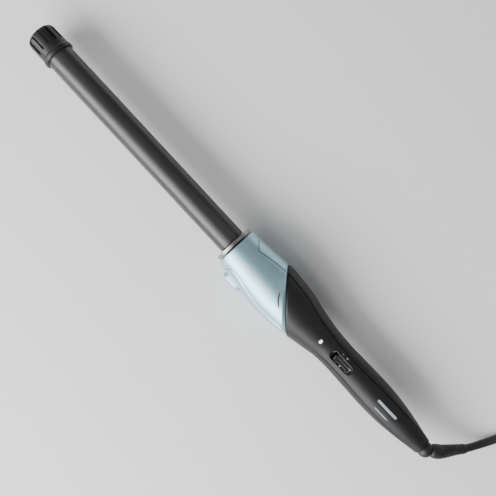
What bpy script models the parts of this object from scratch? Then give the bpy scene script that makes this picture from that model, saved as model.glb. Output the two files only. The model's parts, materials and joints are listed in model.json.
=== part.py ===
"""Clipless curling wand lying on its folded stand, with its cord coiled beside it.

The tool axis runs along X at AXIS_Z above the surface. +X points to the barrel's tip, +Y to the
push button, +Z to the switch. Every size below is in millimetres, and MM turns it into metres.
"""

import math

import bmesh
import bpy
from mathutils import Matrix, Vector

MM = 0.001
GAP = 0.3  # between pieces that touch
AXIS_Z = 19.0  # height of the tool axis above the surface
WALL = 1.8  # of the moulded shells

TIP_X = 190.8  # front end of the cool tip
BALL_X = -184.0  # centre of the swivel ball
BALL_R = 5.4
SHELL_END_X = -181.5

BARREL_R = 9.5
BARREL_BORE_R = 8.3
BARREL_BACK_X, BARREL_FRONT_X = 3.1, 172.7
COLLAR_R = 14.0
SPIGOT_R = 8.0
SPIGOT_BACK_X = -24.0
SOCKET_R = 9.2
SOCKET_BACK_X = -28.0
PIN_PLACES = ((4.2, 2.0), (-4.2, 2.0), (0.0, -4.4))  # (y, z from the axis)

# Handle and head: station x, half width, sideways shift of the section's centre
BODY = (
    (0.0, 15.4, 0.5),
    (-8.0, 15.9, 0.6),
    (-16.0, 16.7, 0.7),
    (-24.0, 17.5, 0.8),
    (-31.5, 18.25, 0.8),
    (-37.0, 18.6, 0.8),
    (-46.0, 18.1, 0.9),
    (-56.0, 17.3, 0.8),
    (-63.0, 16.2, 0.8),
    (-69.0, 14.9, 0.7),
    (-76.0, 13.65, 0.5),
    (-82.0, 12.6, 0.3),
    (-89.0, 11.6, 0.0),
    (-102.0, 11.05, 0.0),
    (-115.0, 11.35, 0.0),
    (-134.0, 11.7, 0.0),
    (-147.0, 11.15, 0.0),
    (-157.0, 10.1, 0.0),
    (-167.0, 8.6, 0.0),
    (-174.0, 7.3, 0.0),
    (-181.5, 6.1, 0.0),
)
HEIGHT_SHARE = 0.98  # half height over half width
# Angle from the top of the seam between front and rear shells, in degrees: on the handle, which
# is the same on both sides, then on the head's button side and its plain side
HANDLE_SEAM = (
    (-69.0, 47.0),
    (-76.0, 44.5),
    (-84.0, 41.5),
    (-95.0, 37.5),
    (-115.0, 36.5),
    (-130.0, 39.0),
    (-150.0, 43.0),
    (-167.0, 52.0),
    (-184.0, 66.0),
)
BUTTON_SIDE_SEAM = (
    (2.0, 116.0),
    (-2.0, 108.0),
    (-4.0, 96.0),
    (-5.4, 80.0),
    (-6.6, 62.0),
    (-8.0, 48.0),
    (-10.0, 39.0),
    (-12.0, 35.0),
    (-14.0, 33.6),
    (-17.2, 35.6),
    (-20.5, 38.4),
    (-24.0, 40.8),
    (-31.0, 43.5),
    (-42.0, 48.5),
    (-51.0, 49.5),
    (-61.0, 48.0),
) + HANDLE_SEAM
PLAIN_SIDE_SEAM = (
    (2.0, 124.0),
    (-1.5, 120.0),
    (-3.6, 106.0),
    (-5.2, 90.0),
    (-7.5, 75.0),
    (-10.0, 58.0),
    (-12.0, 46.5),
    (-13.6, 43.5),
    (-17.0, 46.0),
    (-24.0, 51.0),
    (-37.0, 54.5),
    (-48.0, 55.0),
    (-60.0, 51.0),
) + HANDLE_SEAM
HEAD_FRONT_X = -1.6
CUT_SUM = -50.5  # x + y on the upright 45 degree plane between head and handle
FLAT_Z = 2.8  # underside of the head, above the folded stand

BUTTON = {"x": -16.2, "length": 16.6, "height": 12.0, "face_y": 20.1, "back_y": 12.1, "travel": 2.0}
LATCH = {"x": -14.5, "thick": 1.2, "window": 9.5, "rim": 1.2, "tooth": 8.35}
SPRING_X = -19.8
BEZEL = {"x": -101.9, "length": 19.8, "width": 7.4, "top": 10.75, "floor": 8.2}
SLIDER = {"x": -103.4, "length": 14.6, "width": 5.4, "top": 10.6, "bottom": 8.6, "travel": 2.9}
BOARD = {"back": -152.0, "front": -79.0, "half": 7.0, "low": 1.0, "high": 2.6}
LED_X = -83.0
STAND = {"pivot_x": -9.0, "pivot_z": 2.4, "end_x": -55.6, "half": 8.2, "thick": 2.4}
SCREWS = (-41.5, -71.0, -157.5)  # x of each, all driven from below

# Cord
CORD_R = 2.7
COIL_CENTRE = (-292.0, -31.0)
COIL_INNER_R, COIL_OUTER_R, COIL_HEIGHT = 20.2, 41.8, 10.8
RELIEF_ROUTE = (
    (-188.7, -3.0, 17.8),
    (-192.5, -5.6, 16.0),
    (-196.2, -9.2, 13.8),
    (-199.4, -12.8, 11.8),
    (-202.4, -15.8, 10.0),
    (-205.0, -18.6, 8.4),
)
RELIEF_RADII = (4.6, 5.0, 4.6, 4.0, 3.5, 3.2)
CORD_ROUTE = (
    (-205.3, -18.95, 8.2),
    (-208.6, -23.7, 5.8),
    (-211.8, -29.2, 3.9),
    (-214.6, -35.0, 2.9),
    (-217.6, -43.0, 2.75),
    (-222.5, -51.5, 2.75),
    (-230.0, -59.5, 2.75),
    (-240.5, -65.8, 2.75),
    (-254.0, -69.3, 2.75),
    (-263.0, -70.2, 2.75),
    (-270.2, -70.7, 2.75),
)
TAIL_ROUTE = (
    (-310.4, -62.4, 13.85),
    (-315.6, -56.7, 14.5),
    (-318.9, -49.9, 15.7),
    (-320.0, -42.4, 17.2),
)
PLUG = {"x": -320.0, "relief": (-41.2, -27.8), "body": (-26.7, 1.0), "half": 12.4, "z": 19.2, "deep": 8.0}
BLADE = {"apart": 12.7, "wide": 6.4, "thick": 1.5, "end_y": 17.0}

ROOT_COLOURS = {
    "ice_blue": ((0.42, 0.60, 0.68), 0.28, 0.85),
    "black_shell": ((0.018, 0.018, 0.020), 0.42, 0.0),
    "gloss_black": ((0.008, 0.008, 0.009), 0.12, 0.0),
    "barrel_coat": ((0.050, 0.048, 0.047), 0.34, 0.9),
    "collar_metal": ((0.32, 0.29, 0.28), 0.30, 1.0),
    "tip_black": ((0.022, 0.022, 0.023), 0.45, 0.0),
    "steel": ((0.56, 0.57, 0.58), 0.28, 1.0),
    "brass": ((0.72, 0.52, 0.22), 0.28, 1.0),
    "copper": ((0.72, 0.38, 0.24), 0.30, 1.0),
    "aluminium": ((0.70, 0.71, 0.72), 0.38, 1.0),
    "ceramic": ((0.55, 0.52, 0.47), 0.60, 0.0),
    "amber_film": ((0.60, 0.26, 0.05), 0.30, 0.0),
    "board_green": ((0.03, 0.17, 0.07), 0.40, 0.0),
    "chip_black": ((0.02, 0.02, 0.02), 0.50, 0.0),
    "capacitor_yellow": ((0.70, 0.50, 0.08), 0.40, 0.0),
    "lamp_white": ((0.85, 0.88, 0.90), 0.20, 0.0),
    "rubber_black": ((0.014, 0.014, 0.015), 0.60, 0.0),
    "wire_red": ((0.50, 0.03, 0.03), 0.50, 0.0),
    "wire_blue": ((0.04, 0.10, 0.45), 0.50, 0.0),
    "wire_white": ((0.75, 0.75, 0.72), 0.50, 0.0),
}


def clear_scene():
    for obj in list(bpy.data.objects):
        bpy.data.objects.remove(obj, do_unlink=True)


def material_of(slot):
    found = bpy.data.materials.get(slot)
    if found:
        return found
    colour, roughness, metallic = ROOT_COLOURS[slot]
    made = bpy.data.materials.new(slot)
    made.use_nodes = True
    shader = made.node_tree.nodes["Principled BSDF"]
    shader.inputs["Base Color"].default_value = (*colour, 1.0)
    shader.inputs["Roughness"].default_value = roughness
    shader.inputs["Metallic"].default_value = metallic
    return made


def axis_point(x, y=0.0, z=0.0):
    """A point given from the tool axis, in metres."""
    return Vector((x, y, AXIS_Z + z)) * MM


def smooth_value(table, x, column):
    """A value read from a table of stations in falling x, by a cubic through them."""
    rows = list(table)
    for k in range(len(rows) - 1):
        if x >= rows[k + 1][0] or k == len(rows) - 2:
            break
    a, b = rows[k], rows[k + 1]
    before, after = rows[max(k - 1, 0)], rows[min(k + 2, len(rows) - 1)]
    t = min(max((x - a[0]) / (b[0] - a[0]), 0.0), 1.0)
    span = b[0] - a[0]
    slope_a = (b[column] - before[column]) / (b[0] - before[0]) * span
    slope_b = (after[column] - a[column]) / (after[0] - a[0]) * span
    return (
        a[column] * (2 * t**3 - 3 * t**2 + 1)
        + slope_a * (t**3 - 2 * t**2 + t)
        + b[column] * (3 * t**2 - 2 * t**3)
        + slope_b * (t**3 - t**2)
    )


def object_from(name, mesh_data, slot, helper=False):
    mesh = bpy.data.meshes.new(name)
    bmesh.ops.recalc_face_normals(mesh_data, faces=mesh_data.faces[:])
    mesh_data.to_mesh(mesh)
    mesh_data.free()
    obj = bpy.data.objects.new(name, mesh)
    bpy.context.scene.collection.objects.link(obj)
    if helper:
        obj.hide_render = True
        obj.display_type = "WIRE"
    else:
        mesh.materials.append(material_of(slot))
        mesh.shade_smooth()
        mesh.set_sharp_from_angle(angle=math.radians(35))
    return obj


def turned(name, outline, slot, segments=24, along="X", origin=(0, 0, 0), helper=False):
    """A turned piece: (distance along, radius) points round a closed outline, spun once."""
    axes = {
        "X": (Vector((1, 0, 0)), Vector((0, 0, 1))),
        "Y": (Vector((0, 1, 0)), Vector((0, 0, 1))),
        "Z": (Vector((0, 0, 1)), Vector((1, 0, 0))),
    }
    forward, out = axes[along]
    base = Vector(origin) * MM
    data = bmesh.new()
    ring = [data.verts.new(base + forward * (a * MM) + out * (r * MM)) for a, r in outline]
    edges = [data.edges.new((ring[i], ring[i + 1])) for i in range(len(ring) - 1)]
    if outline[0][1] > 0 or outline[-1][1] > 0:
        edges.append(data.edges.new((ring[-1], ring[0])))
    bmesh.ops.spin(
        data,
        geom=ring + edges,
        cent=base,
        axis=forward,
        angle=2 * math.pi,
        steps=segments,
        use_merge=True,
    )
    bmesh.ops.remove_doubles(data, verts=data.verts[:], dist=1e-6)
    return object_from(name, data, slot, helper)


def on_axis(name, outline, slot, segments=24, helper=False):
    return turned(name, outline, slot, segments, "X", (0, 0, AXIS_Z), helper)


def rod(name, low, high, radius, slot, along, origin, segments=12, helper=False):
    return turned(
        name, ((low, 0), (low, radius), (high, radius), (high, 0)), slot, segments, along, origin, helper
    )


def pipe(name, low, high, outer, inner, slot, along, origin, segments=16, helper=False):
    outline = ((low, inner), (low, outer), (high, outer), (high, inner))
    return turned(name, outline, slot, segments, along, origin, helper)


def block(name, low, high, slot="", bevel=0.0, helper=False):
    """A box between two corners, with an optional bevel."""
    data = bmesh.new()
    bmesh.ops.create_cube(data, size=1.0)
    size = [(b - a) * MM for a, b in zip(low, high)]
    middle = [(a + b) / 2 * MM for a, b in zip(low, high)]
    bmesh.ops.scale(data, vec=size, verts=data.verts[:])
    bmesh.ops.translate(data, vec=middle, verts=data.verts[:])
    if bevel:
        bmesh.ops.bevel(data, geom=data.edges[:], offset=bevel * MM, segments=1, affect="EDGES")
    return object_from(name, data, slot, helper)


def stadium(length, width, steps=7):
    """An outline with straight sides and round ends, centred, long way first."""
    radius, reach = width / 2, (length - width) / 2
    points = []
    for end in (1, -1):
        for k in range(steps + 1):
            turn = -math.pi / 2 + math.pi * k / steps
            points.append((end * (reach + radius * math.cos(turn)), end * radius * math.sin(turn)))
    return points


def extruded(name, outline, low, high, slot, place, helper=False):
    """An outline (u, v) swept from low to high, where place(u, v, w) gives millimetres."""
    data = bmesh.new()
    face = data.faces.new([data.verts.new(Vector(place(u, v, low)) * MM) for u, v in outline])
    swept = bmesh.ops.extrude_face_region(data, geom=[face])
    step = Vector(place(0, 0, high)) * MM - Vector(place(0, 0, low)) * MM
    moved = [item for item in swept["geom"] if isinstance(item, bmesh.types.BMVert)]
    bmesh.ops.translate(data, vec=step, verts=moved)
    return object_from(name, data, slot, helper)


def lofted(name, sections, slot, helper=False):
    """Rings of the same number of points joined one to the next, with a face on each end."""
    data = bmesh.new()
    rings = [[data.verts.new(Vector(p) * MM) for p in section] for section in sections]
    count = len(rings[0])
    for a, b in zip(rings, rings[1:]):
        for i in range(count):
            data.faces.new((a[i], a[(i + 1) % count], b[(i + 1) % count], b[i]))
    data.faces.new(rings[0])
    data.faces.new(rings[-1])
    bmesh.ops.triangulate(data, faces=data.faces[:])
    return object_from(name, data, slot, helper)


def smooth_route(route, spacing):
    """Points along a smooth curve through the route's own points, in metres."""
    points = [Vector(p) * MM for p in route]
    found = []
    for k in range(len(points) - 1):
        a, b = points[k], points[k + 1]
        before, after = points[max(k - 1, 0)], points[min(k + 2, len(points) - 1)]
        steps = max(1, round((b - a).length / (spacing * MM)))
        for i in range(steps):
            t = i / steps
            bend_in, bend_out = (b - before) / 2, (after - a) / 2
            found.append(
                a * (2 * t**3 - 3 * t**2 + 1)
                + bend_in * (t**3 - 2 * t**2 + t)
                + b * (3 * t**2 - 2 * t**3)
                + bend_out * (t**3 - t**2)
            )
    found.append(points[-1])
    return found


def tube(name, points, radius, slot, detail=2, widths=None):
    """A round tube with filled ends along points in metres; widths scales it point by point."""
    curve = bpy.data.curves.new(name, "CURVE")
    curve.dimensions = "3D"
    curve.bevel_depth = radius * MM
    curve.bevel_resolution = detail
    curve.use_fill_caps = True
    line = curve.splines.new("POLY")
    line.points.add(len(points) - 1)
    for i, point in enumerate(points):
        line.points[i].co = (*point, 1.0)
        line.points[i].radius = widths[i] if widths else 1.0
    curve.materials.append(material_of(slot))
    obj = bpy.data.objects.new(name, curve)
    bpy.context.scene.collection.objects.link(obj)
    return obj


def wire(name, route, radius, slot):
    return tube(name, smooth_route(route, 6.0), radius, slot, detail=1)


def cut(obj, cutter, operation="DIFFERENCE"):
    modifier = obj.modifiers.new(cutter.name, "BOOLEAN")
    modifier.operation = operation
    modifier.object = cutter
    modifier.solver = "EXACT"
    return obj


def half_sizes(x, inset=0.0):
    half = smooth_value(BODY, x, 1)
    return half - inset, half * HEIGHT_SHARE - inset, smooth_value(BODY, x, 2)


def seam_turn(x, button_side):
    table = BUTTON_SIDE_SEAM if button_side else PLAIN_SIDE_SEAM
    return math.radians(smooth_value(table, x, 1))


def seam_clearance(x, button_side):
    """Angle that keeps GAP between the two edges of the seam, also where the seam runs across."""
    half = half_sizes(x)[0]
    slope = half * (seam_turn(x + 0.4, button_side) - seam_turn(x - 0.4, button_side)) / 0.8
    return GAP * math.hypot(1.0, slope) / half


def body_point(along, slant, share, front, inset):
    """A point of the skin on the plane x + slant * y = along; share runs from edge to edge."""
    x = along
    for _ in range(8):
        turn = share * seam_turn(x, share > 0)
        if not front:
            button_side = share < 0
            turn = math.pi + share * (math.pi - seam_turn(x, button_side) - seam_clearance(x, button_side))
        half_y, half_z, shift = half_sizes(x, inset)
        if inset and x < BALL_X + BALL_R:
            seat = math.sqrt(max((BALL_R + 0.4) ** 2 - (x - BALL_X) ** 2, 0.0))
            half_y, half_z = max(half_y, seat), max(half_z, seat)
        y = shift + half_y * math.sin(turn)
        x = along - slant * y
    z = AXIS_Z + half_z * math.cos(turn)
    return (x, y, max(z, FLAT_Z + inset) if x > -90 else z)


def shell(name, slot, planes, front, steps):
    """One moulded shell of even wall, lofted through (along, slant) planes from its front end."""
    data = bmesh.new()
    rings = []
    for along, slant in planes:
        points = [body_point(along, slant, 2 * k / steps - 1, front, 0.0) for k in range(steps + 1)]
        points += [body_point(along, slant, 1 - 2 * k / steps, front, WALL) for k in range(steps + 1)]
        rings.append([data.verts.new(Vector(p) * MM) for p in points])
    count = len(rings[0])
    for a, b in zip(rings, rings[1:]):
        for i in range(count):
            data.faces.new((a[i], a[(i + 1) % count], b[(i + 1) % count], b[i]))
    for ring in (rings[0], rings[-1]):
        for i in range(steps):
            data.faces.new((ring[i], ring[i + 1], ring[count - 2 - i], ring[count - 1 - i]))
    bmesh.ops.triangulate(data, faces=data.faces[:])
    return object_from(name, data, slot)


def head_planes():
    alongs = (HEAD_FRONT_X, -2.8, -3.9, -4.8, -5.7, -6.7, -7.8, -9.2, -10.8, -12.2, -13.6, -15.4, -18.0,
              -22.0, -27.0, -32.0, -37.0, -42.0, -46.5, CUT_SUM + 0.2)
    return [(a, min(max((a + 18.0) / (CUT_SUM + 18.2), 0.0), 1.0)) for a in alongs]


def handle_planes():
    alongs = (CUT_SUM - 0.2, -54.0, -58.0, -62.0, -67.0, -72.0, -78.0, -84.0, -90.0, -96.0, -104.0, -115.0,
              -126.0, -137.0, -147.0, -154.0, -160.0, -166.0, -171.0, -175.0, -178.5, -180.2, SHELL_END_X)
    return [(a, min(max((a + 96.0) / (CUT_SUM + 95.8), 0.0), 1.0)) for a in alongs]


def make_shells():
    head_front = shell("head_front_cover", "ice_blue", head_planes(), True, 18)
    head_rear = shell("head_rear_cover", "ice_blue", head_planes(), False, 23)
    handle_front = shell("handle_front_shell", "black_shell", handle_planes(), True, 12)
    handle_rear = shell("handle_rear_shell", "black_shell", handle_planes(), False, 19)
    hole = extruded("button_hole", stadium(BUTTON["length"] + 0.8, BUTTON["height"] + 0.8), 5.0, 30.0, "",
                    lambda u, v, w: (BUTTON["x"] + u, w, AXIS_Z + v), True)
    cut(head_rear, hole)
    opening = extruded("bezel_hole", stadium(BEZEL["length"] + 0.7, BEZEL["width"] + 0.7), 5.0, 30.0, "",
                       lambda u, v, w: (BEZEL["x"] + u, v, AXIS_Z + w), True)
    cut(handle_front, opening)
    lamp = extruded("lamp_hole", stadium(3.4, 2.6, 4), 5.0, 30.0, "",
                    lambda u, v, w: (LED_X - v, u, AXIS_Z + w), True)
    cut(handle_front, lamp)
    add_swivel_web(handle_front, 0.0, seam_turn(-175.0, True) - 0.04)
    add_swivel_web(handle_rear, math.pi, math.pi - seam_turn(-175.0, True) - seam_clearance(-175.0, True) - 0.04)
    add_screw_bosses(head_front, head_rear, handle_front, handle_rear)
    add_stand_lugs(head_rear)


def add_swivel_web(obj, middle, reach):
    """Sector of the ring between the ball and its retaining disc."""
    outer, inner = half_sizes(-176.0)[1] - 0.8, 3.0
    turns = [middle + reach * (2 * k / 10 - 1) for k in range(11)]
    outline = [(outer * math.sin(t), outer * math.cos(t)) for t in turns]
    outline += [(inner * math.sin(t), inner * math.cos(t)) for t in reversed(turns)]
    web = extruded("web_of_" + obj.name, outline, -176.0, -174.2, "", lambda u, v, w: (w, u, AXIS_Z + v), True)
    cut(obj, web, "UNION")


def add_screw_bosses(head_front, head_rear, handle_front, handle_rear):
    for number, x in enumerate(SCREWS, 1):
        upper, lower = (head_front, head_rear) if x > -60 else (handle_front, handle_rear)
        reach = half_sizes(x)[1] - 0.9
        bottom = max(-reach, FLAT_Z - AXIS_Z + 0.9) if x > -90 else -reach
        tag = f"boss_{number}"
        place = (x, 0, AXIS_Z)
        cut(upper, pipe(tag + "_upper", 0.2, reach, 2.9, 1.35, "", "Z", place, 12, True), "UNION")
        cut(lower, rod(tag + "_lower", bottom, -0.2, 2.9, "", "Z", place, 12, True), "UNION")
        outline = ((-30, 0), (-30, 2.5), (screw_seat(x), 2.5), (screw_seat(x), 1.4), (5, 1.4), (5, 0))
        cut(lower, turned(tag + "_bore", outline, "", 12, "Z", place, True))


def screw_seat(x):
    """Height of the screw head's seat from the tool axis."""
    bottom = max(-half_sizes(x)[1], FLAT_Z - AXIS_Z if x > -90 else -99.0)
    return bottom + 3.2


def make_screws():
    for number, x in enumerate(SCREWS, 1):
        seat = screw_seat(x)
        outline = ((seat - 1.7, 0), (seat - 1.7, 1.6), (seat - 1.2, 2.1), (seat - GAP, 2.1),
                   (seat - GAP, 1.0), (3.0, 1.0), (4.0, 0.3), (4.0, 0))
        turned(f"shell_screw_{number}", outline, "steel", 12, "Z", (x, 0, AXIS_Z))


def add_stand_lugs(head_rear):
    """Two lugs under the head that hold the stand's hinge pin, with room for its knuckles."""
    x, z = STAND["pivot_x"], STAND["pivot_z"]
    cut(head_rear, rod("pin_room", -8.5, 8.5, 1.5, "", "Y", (x, 0, z), 16, True))
    for side in (-1, 1):
        low, high = sorted((side * 8.6, side * 10.8))
        tag = "left" if side > 0 else "right"
        near, far = sorted((side * 4.3, side * 8.5))
        cut(head_rear, rod("knuckle_room_" + tag, near, far, 2.8, "", "Y", (x, 0, z), 16, True))
        lug = block("lug_" + tag, (x - 2.3, low, 0.4), (x + 2.3, high, 8.2), helper=True)
        cut(head_rear, lug, "UNION")
        cut(head_rear, rod("lug_bore_" + tag, low - 1, high + 1, 1.3, "", "Y", (x, 0, z), 12, True))


def make_stand():
    x, z, half, thick = STAND["pivot_x"], STAND["pivot_z"], STAND["half"], STAND["thick"]
    outline = ((x - 1.0, half), (x - 1.0, 4.6), (x - 6.0, 4.6), (x - 6.0, -4.6), (x - 1.0, -4.6),
               (x - 1.0, -half), (STAND["end_x"] + 2, -half), (STAND["end_x"], -half + 2), (STAND["end_x"], -2.5),
               (STAND["end_x"] - 2.0, -2.5), (STAND["end_x"] - 2.0, 2.5), (STAND["end_x"], 2.5),
               (STAND["end_x"], half - 2), (STAND["end_x"] + 2, half))
    stand = extruded("safety_stand", outline, 0.0, thick, "black_shell", lambda u, v, w: (u, v, w))
    for side in (-1, 1):
        low, high = sorted((side * 4.6, side * half))
        tag = "left" if side > 0 else "right"
        cut(stand, rod("knuckle_" + tag, low, high, 2.4, "", "Y", (x, 0, z), 16, True), "UNION")
        cut(stand, rod("knuckle_bore_" + tag, low - 1, high + 1, 1.3, "", "Y", (x, 0, z), 12, True))
    end = STAND["end_x"]
    foot = block("stand_foot", (end - 4.4, -half, 0.0), (end - GAP, half, thick), "rubber_black", 0.5)
    cut(foot, block("foot_slot", (end - 2.3, -2.8, -1), (end + 1, 2.8, 5), helper=True))
    rod("stand_hinge_pin", -10.6, 10.6, 1.0, "steel", "Y", (x, 0, z))
    return stand, foot


def make_barrel():
    made = [
        on_axis("barrel_tube", ((BARREL_BACK_X, BARREL_BORE_R), (BARREL_BACK_X, BARREL_R),
                                (BARREL_FRONT_X, BARREL_R), (BARREL_FRONT_X, BARREL_BORE_R)),
                "barrel_coat", 40),
        on_axis("barrel_collar", ((0.2, SPIGOT_R + 0.35), (0.2, COLLAR_R - 0.4), (0.6, COLLAR_R),
                                  (2.1, COLLAR_R), (2.6, COLLAR_R - 0.7), (2.6, SPIGOT_R + 0.35)),
                "collar_metal", 40),
    ]
    back = SPIGOT_BACK_X
    groove = LATCH["x"]
    base = on_axis(
        "barrel_base",
        ((back, 0), (back, SPIGOT_R - 0.8), (back + 0.8, SPIGOT_R), (groove - 1.4, SPIGOT_R),
         (groove - 1.4, 6.9), (groove + 1.4, 6.9), (groove + 1.4, SPIGOT_R), (12.0, SPIGOT_R),
         (12.0, 6.0), (back + 2.6, 6.0), (back + 2.6, 0)),
        "tip_black", 32,
    )
    for number, (y, z) in enumerate(PIN_PLACES, 1):
        cut(base, rod(f"pin_hole_{number}", back - 1, back + 4, 1.3, "", "X", (0, y, AXIS_Z + z), 12, True))
        made.append(rod(f"contact_pin_{number}", -33.0, -18.0, 1.0, "brass", "X", (0, y, AXIS_Z + z)))
    made.append(base)
    made += make_heater() + [make_cool_tip()]
    return made


def half_round(name, sign, radius, flat, low, high):
    """A bar of D section that fills one half of the barrel."""
    start = math.acos(flat / radius)
    turns = [start - 2 * start * k / 12 for k in range(13)]
    outline = [(radius * math.sin(t), sign * radius * math.cos(t)) for t in turns]
    return extruded(name, outline, low, high, "aluminium", lambda u, v, w: (w, u, AXIS_Z + v))


def make_heater():
    low, high = 22.0, 150.0

    def plate(name, x0, x1, half, z0, z1, slot):
        return block(name, (x0, -half, AXIS_Z + z0), (x1, half, AXIS_Z + z1), slot)

    return [
        half_round("heater_block_upper", 1, 7.4, 2.3, low, high),
        half_round("heater_block_lower", -1, 7.4, 2.3, low, high),
        plate("ceramic_heater", low + 4, high - 4, 4.5, -1.2, 1.2, "ceramic"),
        plate("electrode_upper", low - 6, high - 2, 5.2, 1.5, 2.0, "copper"),
        plate("electrode_lower", low - 6, high - 2, 5.2, -2.0, -1.5, "copper"),
        on_axis("insulation_film", ((low - 2, 7.7), (low - 2, 8.0), (high + 2, 8.0), (high + 2, 7.7)),
                "amber_film", 32),
        rod("thermistor", 14.0, 19.0, 0.9, "ceramic", "X", (0, 0, AXIS_Z - 5.0), 8),
        rod("thermal_fuse", -14.0, 8.0, 1.6, "ceramic", "X", (0, 0, AXIS_Z + 1.0), 10),
    ]


def make_cool_tip():
    """Flanged cap over the barrel's end; its front two thirds are ribbed."""
    tip = on_axis(
        "cool_tip",
        ((170.3, BARREL_R + 0.35), (170.3, 10.6), (170.9, 11.0), (173.1, 11.0), (173.8, 10.4),
         (177.6, 10.3), (187.8, 10.2), (189.9, 9.4), (190.8, 7.4), (190.8, 0), (173.0, 0),
         (173.0, BARREL_R + 0.35)),
        "tip_black", 48,
    )
    count = 12
    for k in range(count):
        turn = 2 * math.pi * (k + 0.5) / count
        groove = block(f"rib_gap_{k}", (177.8, -1.05, 9.0), (195.0, 1.05, 14.0), helper=True)
        groove.matrix_world = Matrix.Translation(axis_point(0)) @ Matrix.Rotation(turn, 4, "X")
        cut(tip, groove)
    return tip


def make_socket():
    wall = SPIGOT_R + 0.4
    socket = on_axis(
        "barrel_socket",
        ((-1.9, wall), (-1.9, 12.6), (-3.9, 12.6), (-3.9, SOCKET_R), (SOCKET_BACK_X, SOCKET_R),
         (SOCKET_BACK_X, 0), (SOCKET_BACK_X + 1.7, 0), (SOCKET_BACK_X + 1.7, wall)),
        "tip_black", 32,
    )
    x, thick = LATCH["x"], LATCH["thick"]
    cut(socket, block("tooth_window", (x - thick / 2 - 0.4, -12, AXIS_Z - 3.5), (x + thick / 2 + 0.4, -6, AXIS_Z + 3.5),
                      helper=True))
    for number, (y, z) in enumerate(PIN_PLACES, 1):
        place = (0, y, AXIS_Z + z)
        cut(socket, rod(f"socket_hole_{number}", -30, -24, 1.4, "", "X", place, 12, True))
        contact = pipe(f"socket_contact_{number}", -36.0, SOCKET_BACK_X - GAP, 2.0, 1.35, "brass", "X", place, 12)
        cut(contact, block(f"contact_slot_{number}", (-33.5, y - 3, AXIS_Z + z - 0.3), (-20, y, AXIS_Z + z + 0.3),
                           helper=True))


def make_release():
    """Push button with its latch plate, which hooks the barrel base from the far side."""
    x, length, height = BUTTON["x"], BUTTON["length"], BUTTON["height"]
    face, back = BUTTON["face_y"], BUTTON["back_y"]

    def sideways(u, v, w):
        return (x + u, w, AXIS_Z + v)

    rings = []
    for inset, y in ((0.0, back), (0.0, face - 2.2), (0.5, face - 0.9), (1.6, face - 0.2), (3.2, face)):
        rings.append([sideways(u, v, y) for u, v in stadium(length - 2 * inset, height - 2 * inset)])
    button = lofted("release_button", rings, "ice_blue")
    for side in (-1, 1):
        a, b = sorted((side * (length / 2 - 1.0), side * (length / 2 + 1.6)))
        cut(button, block(f"keeper_{side + 1}", (x + a, back, AXIS_Z - 4.0), (x + b, back + 0.9, AXIS_Z + 4.0),
                          helper=True), "UNION")
    cut(button, extruded("button_hollow", stadium(length - 3.4, height - 3.0), back - 1, face - 2.0, "",
                         sideways, True))
    plate = make_latch_plate()
    spring = make_button_spring()
    return button, plate, spring


def make_latch_plate():
    x, thick, rim = LATCH["x"], LATCH["thick"], LATCH["rim"]
    window, travel = LATCH["window"], BUTTON["travel"]

    def crosswise(u, v, w):
        return (w, u + travel / 2, AXIS_Z + v)

    low, high = x - thick / 2, x + thick / 2
    plate = extruded("latch_plate", stadium(2 * (window + rim) + travel, 2 * (window + rim), 12), low, high,
                     "steel", crosswise)
    cut(plate, block("latch_tab", (low, 11.0, AXIS_Z - 3.0), (high, 17.6, AXIS_Z + 3.0), helper=True), "UNION")
    cut(plate, extruded("latch_window", stadium(2 * window + travel, 2 * window, 12), low - 1, high + 1, "",
                        crosswise, True))
    cut(plate, block("latch_tooth", (low, -window - 0.5, AXIS_Z - 2.9), (high, -LATCH["tooth"], AXIS_Z + 2.9),
                     helper=True), "UNION")
    return plate


def make_button_spring():
    """Coil spring between the socket tube and the inside of the button."""
    turns, per_turn = 4, 10
    low, high, radius = SOCKET_R + 0.8, BUTTON["face_y"] - 2.7, 2.2
    points = []
    for k in range(turns * per_turn + 1):
        turn = 2 * math.pi * k / per_turn
        y = low + (high - low) * k / (turns * per_turn)
        points.append(axis_point(SPRING_X + radius * math.cos(turn), y, radius * math.sin(turn)))
    return tube("button_spring", points, 0.35, "steel", 1)


def make_switch():
    x, top, floor = BEZEL["x"], BEZEL["top"], BEZEL["floor"]

    def upright(u, v, w):
        return (x + u, v, AXIS_Z + w)

    bezel = extruded("switch_bezel", stadium(BEZEL["length"], BEZEL["width"]), floor - 1.0, top, "gloss_black", upright)
    cut(bezel, extruded("bezel_hollow", stadium(BEZEL["length"] - 1.4, BEZEL["width"] - 1.4), floor, top + 2, "",
                        upright, True))
    cut(bezel, block("bezel_slot", (x - 5.2, -1.1, AXIS_Z), (x + 4.2, 1.1, AXIS_Z + 15), helper=True))
    mid = SLIDER["x"]

    def at_slider(u, v, w):
        return (mid + u, v, AXIS_Z + w)

    length, width, high, low = SLIDER["length"], SLIDER["width"], SLIDER["top"], SLIDER["bottom"]
    rings = []
    for inset, z in ((0.0, low), (0.0, high - 0.6), (0.5, high)):
        rings.append([at_slider(u, v, z) for u, v in stadium(length - 2 * inset, width - 2 * inset)])
    slider = lofted("switch_slider", rings, "gloss_black")
    cut(slider, block("slider_stem", (mid - 2.0, -0.8, AXIS_Z + 6.6), (mid + 2.0, 0.8, AXIS_Z + low + 0.5),
                      helper=True), "UNION")
    pipe_r = half_sizes(LED_X)[1]
    extruded("light_pipe", stadium(2.8, 2.0, 4), 7.0, pipe_r - 0.05, "lamp_white",
             lambda u, v, w: (LED_X - v, u, AXIS_Z + w))
    return slider


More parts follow.
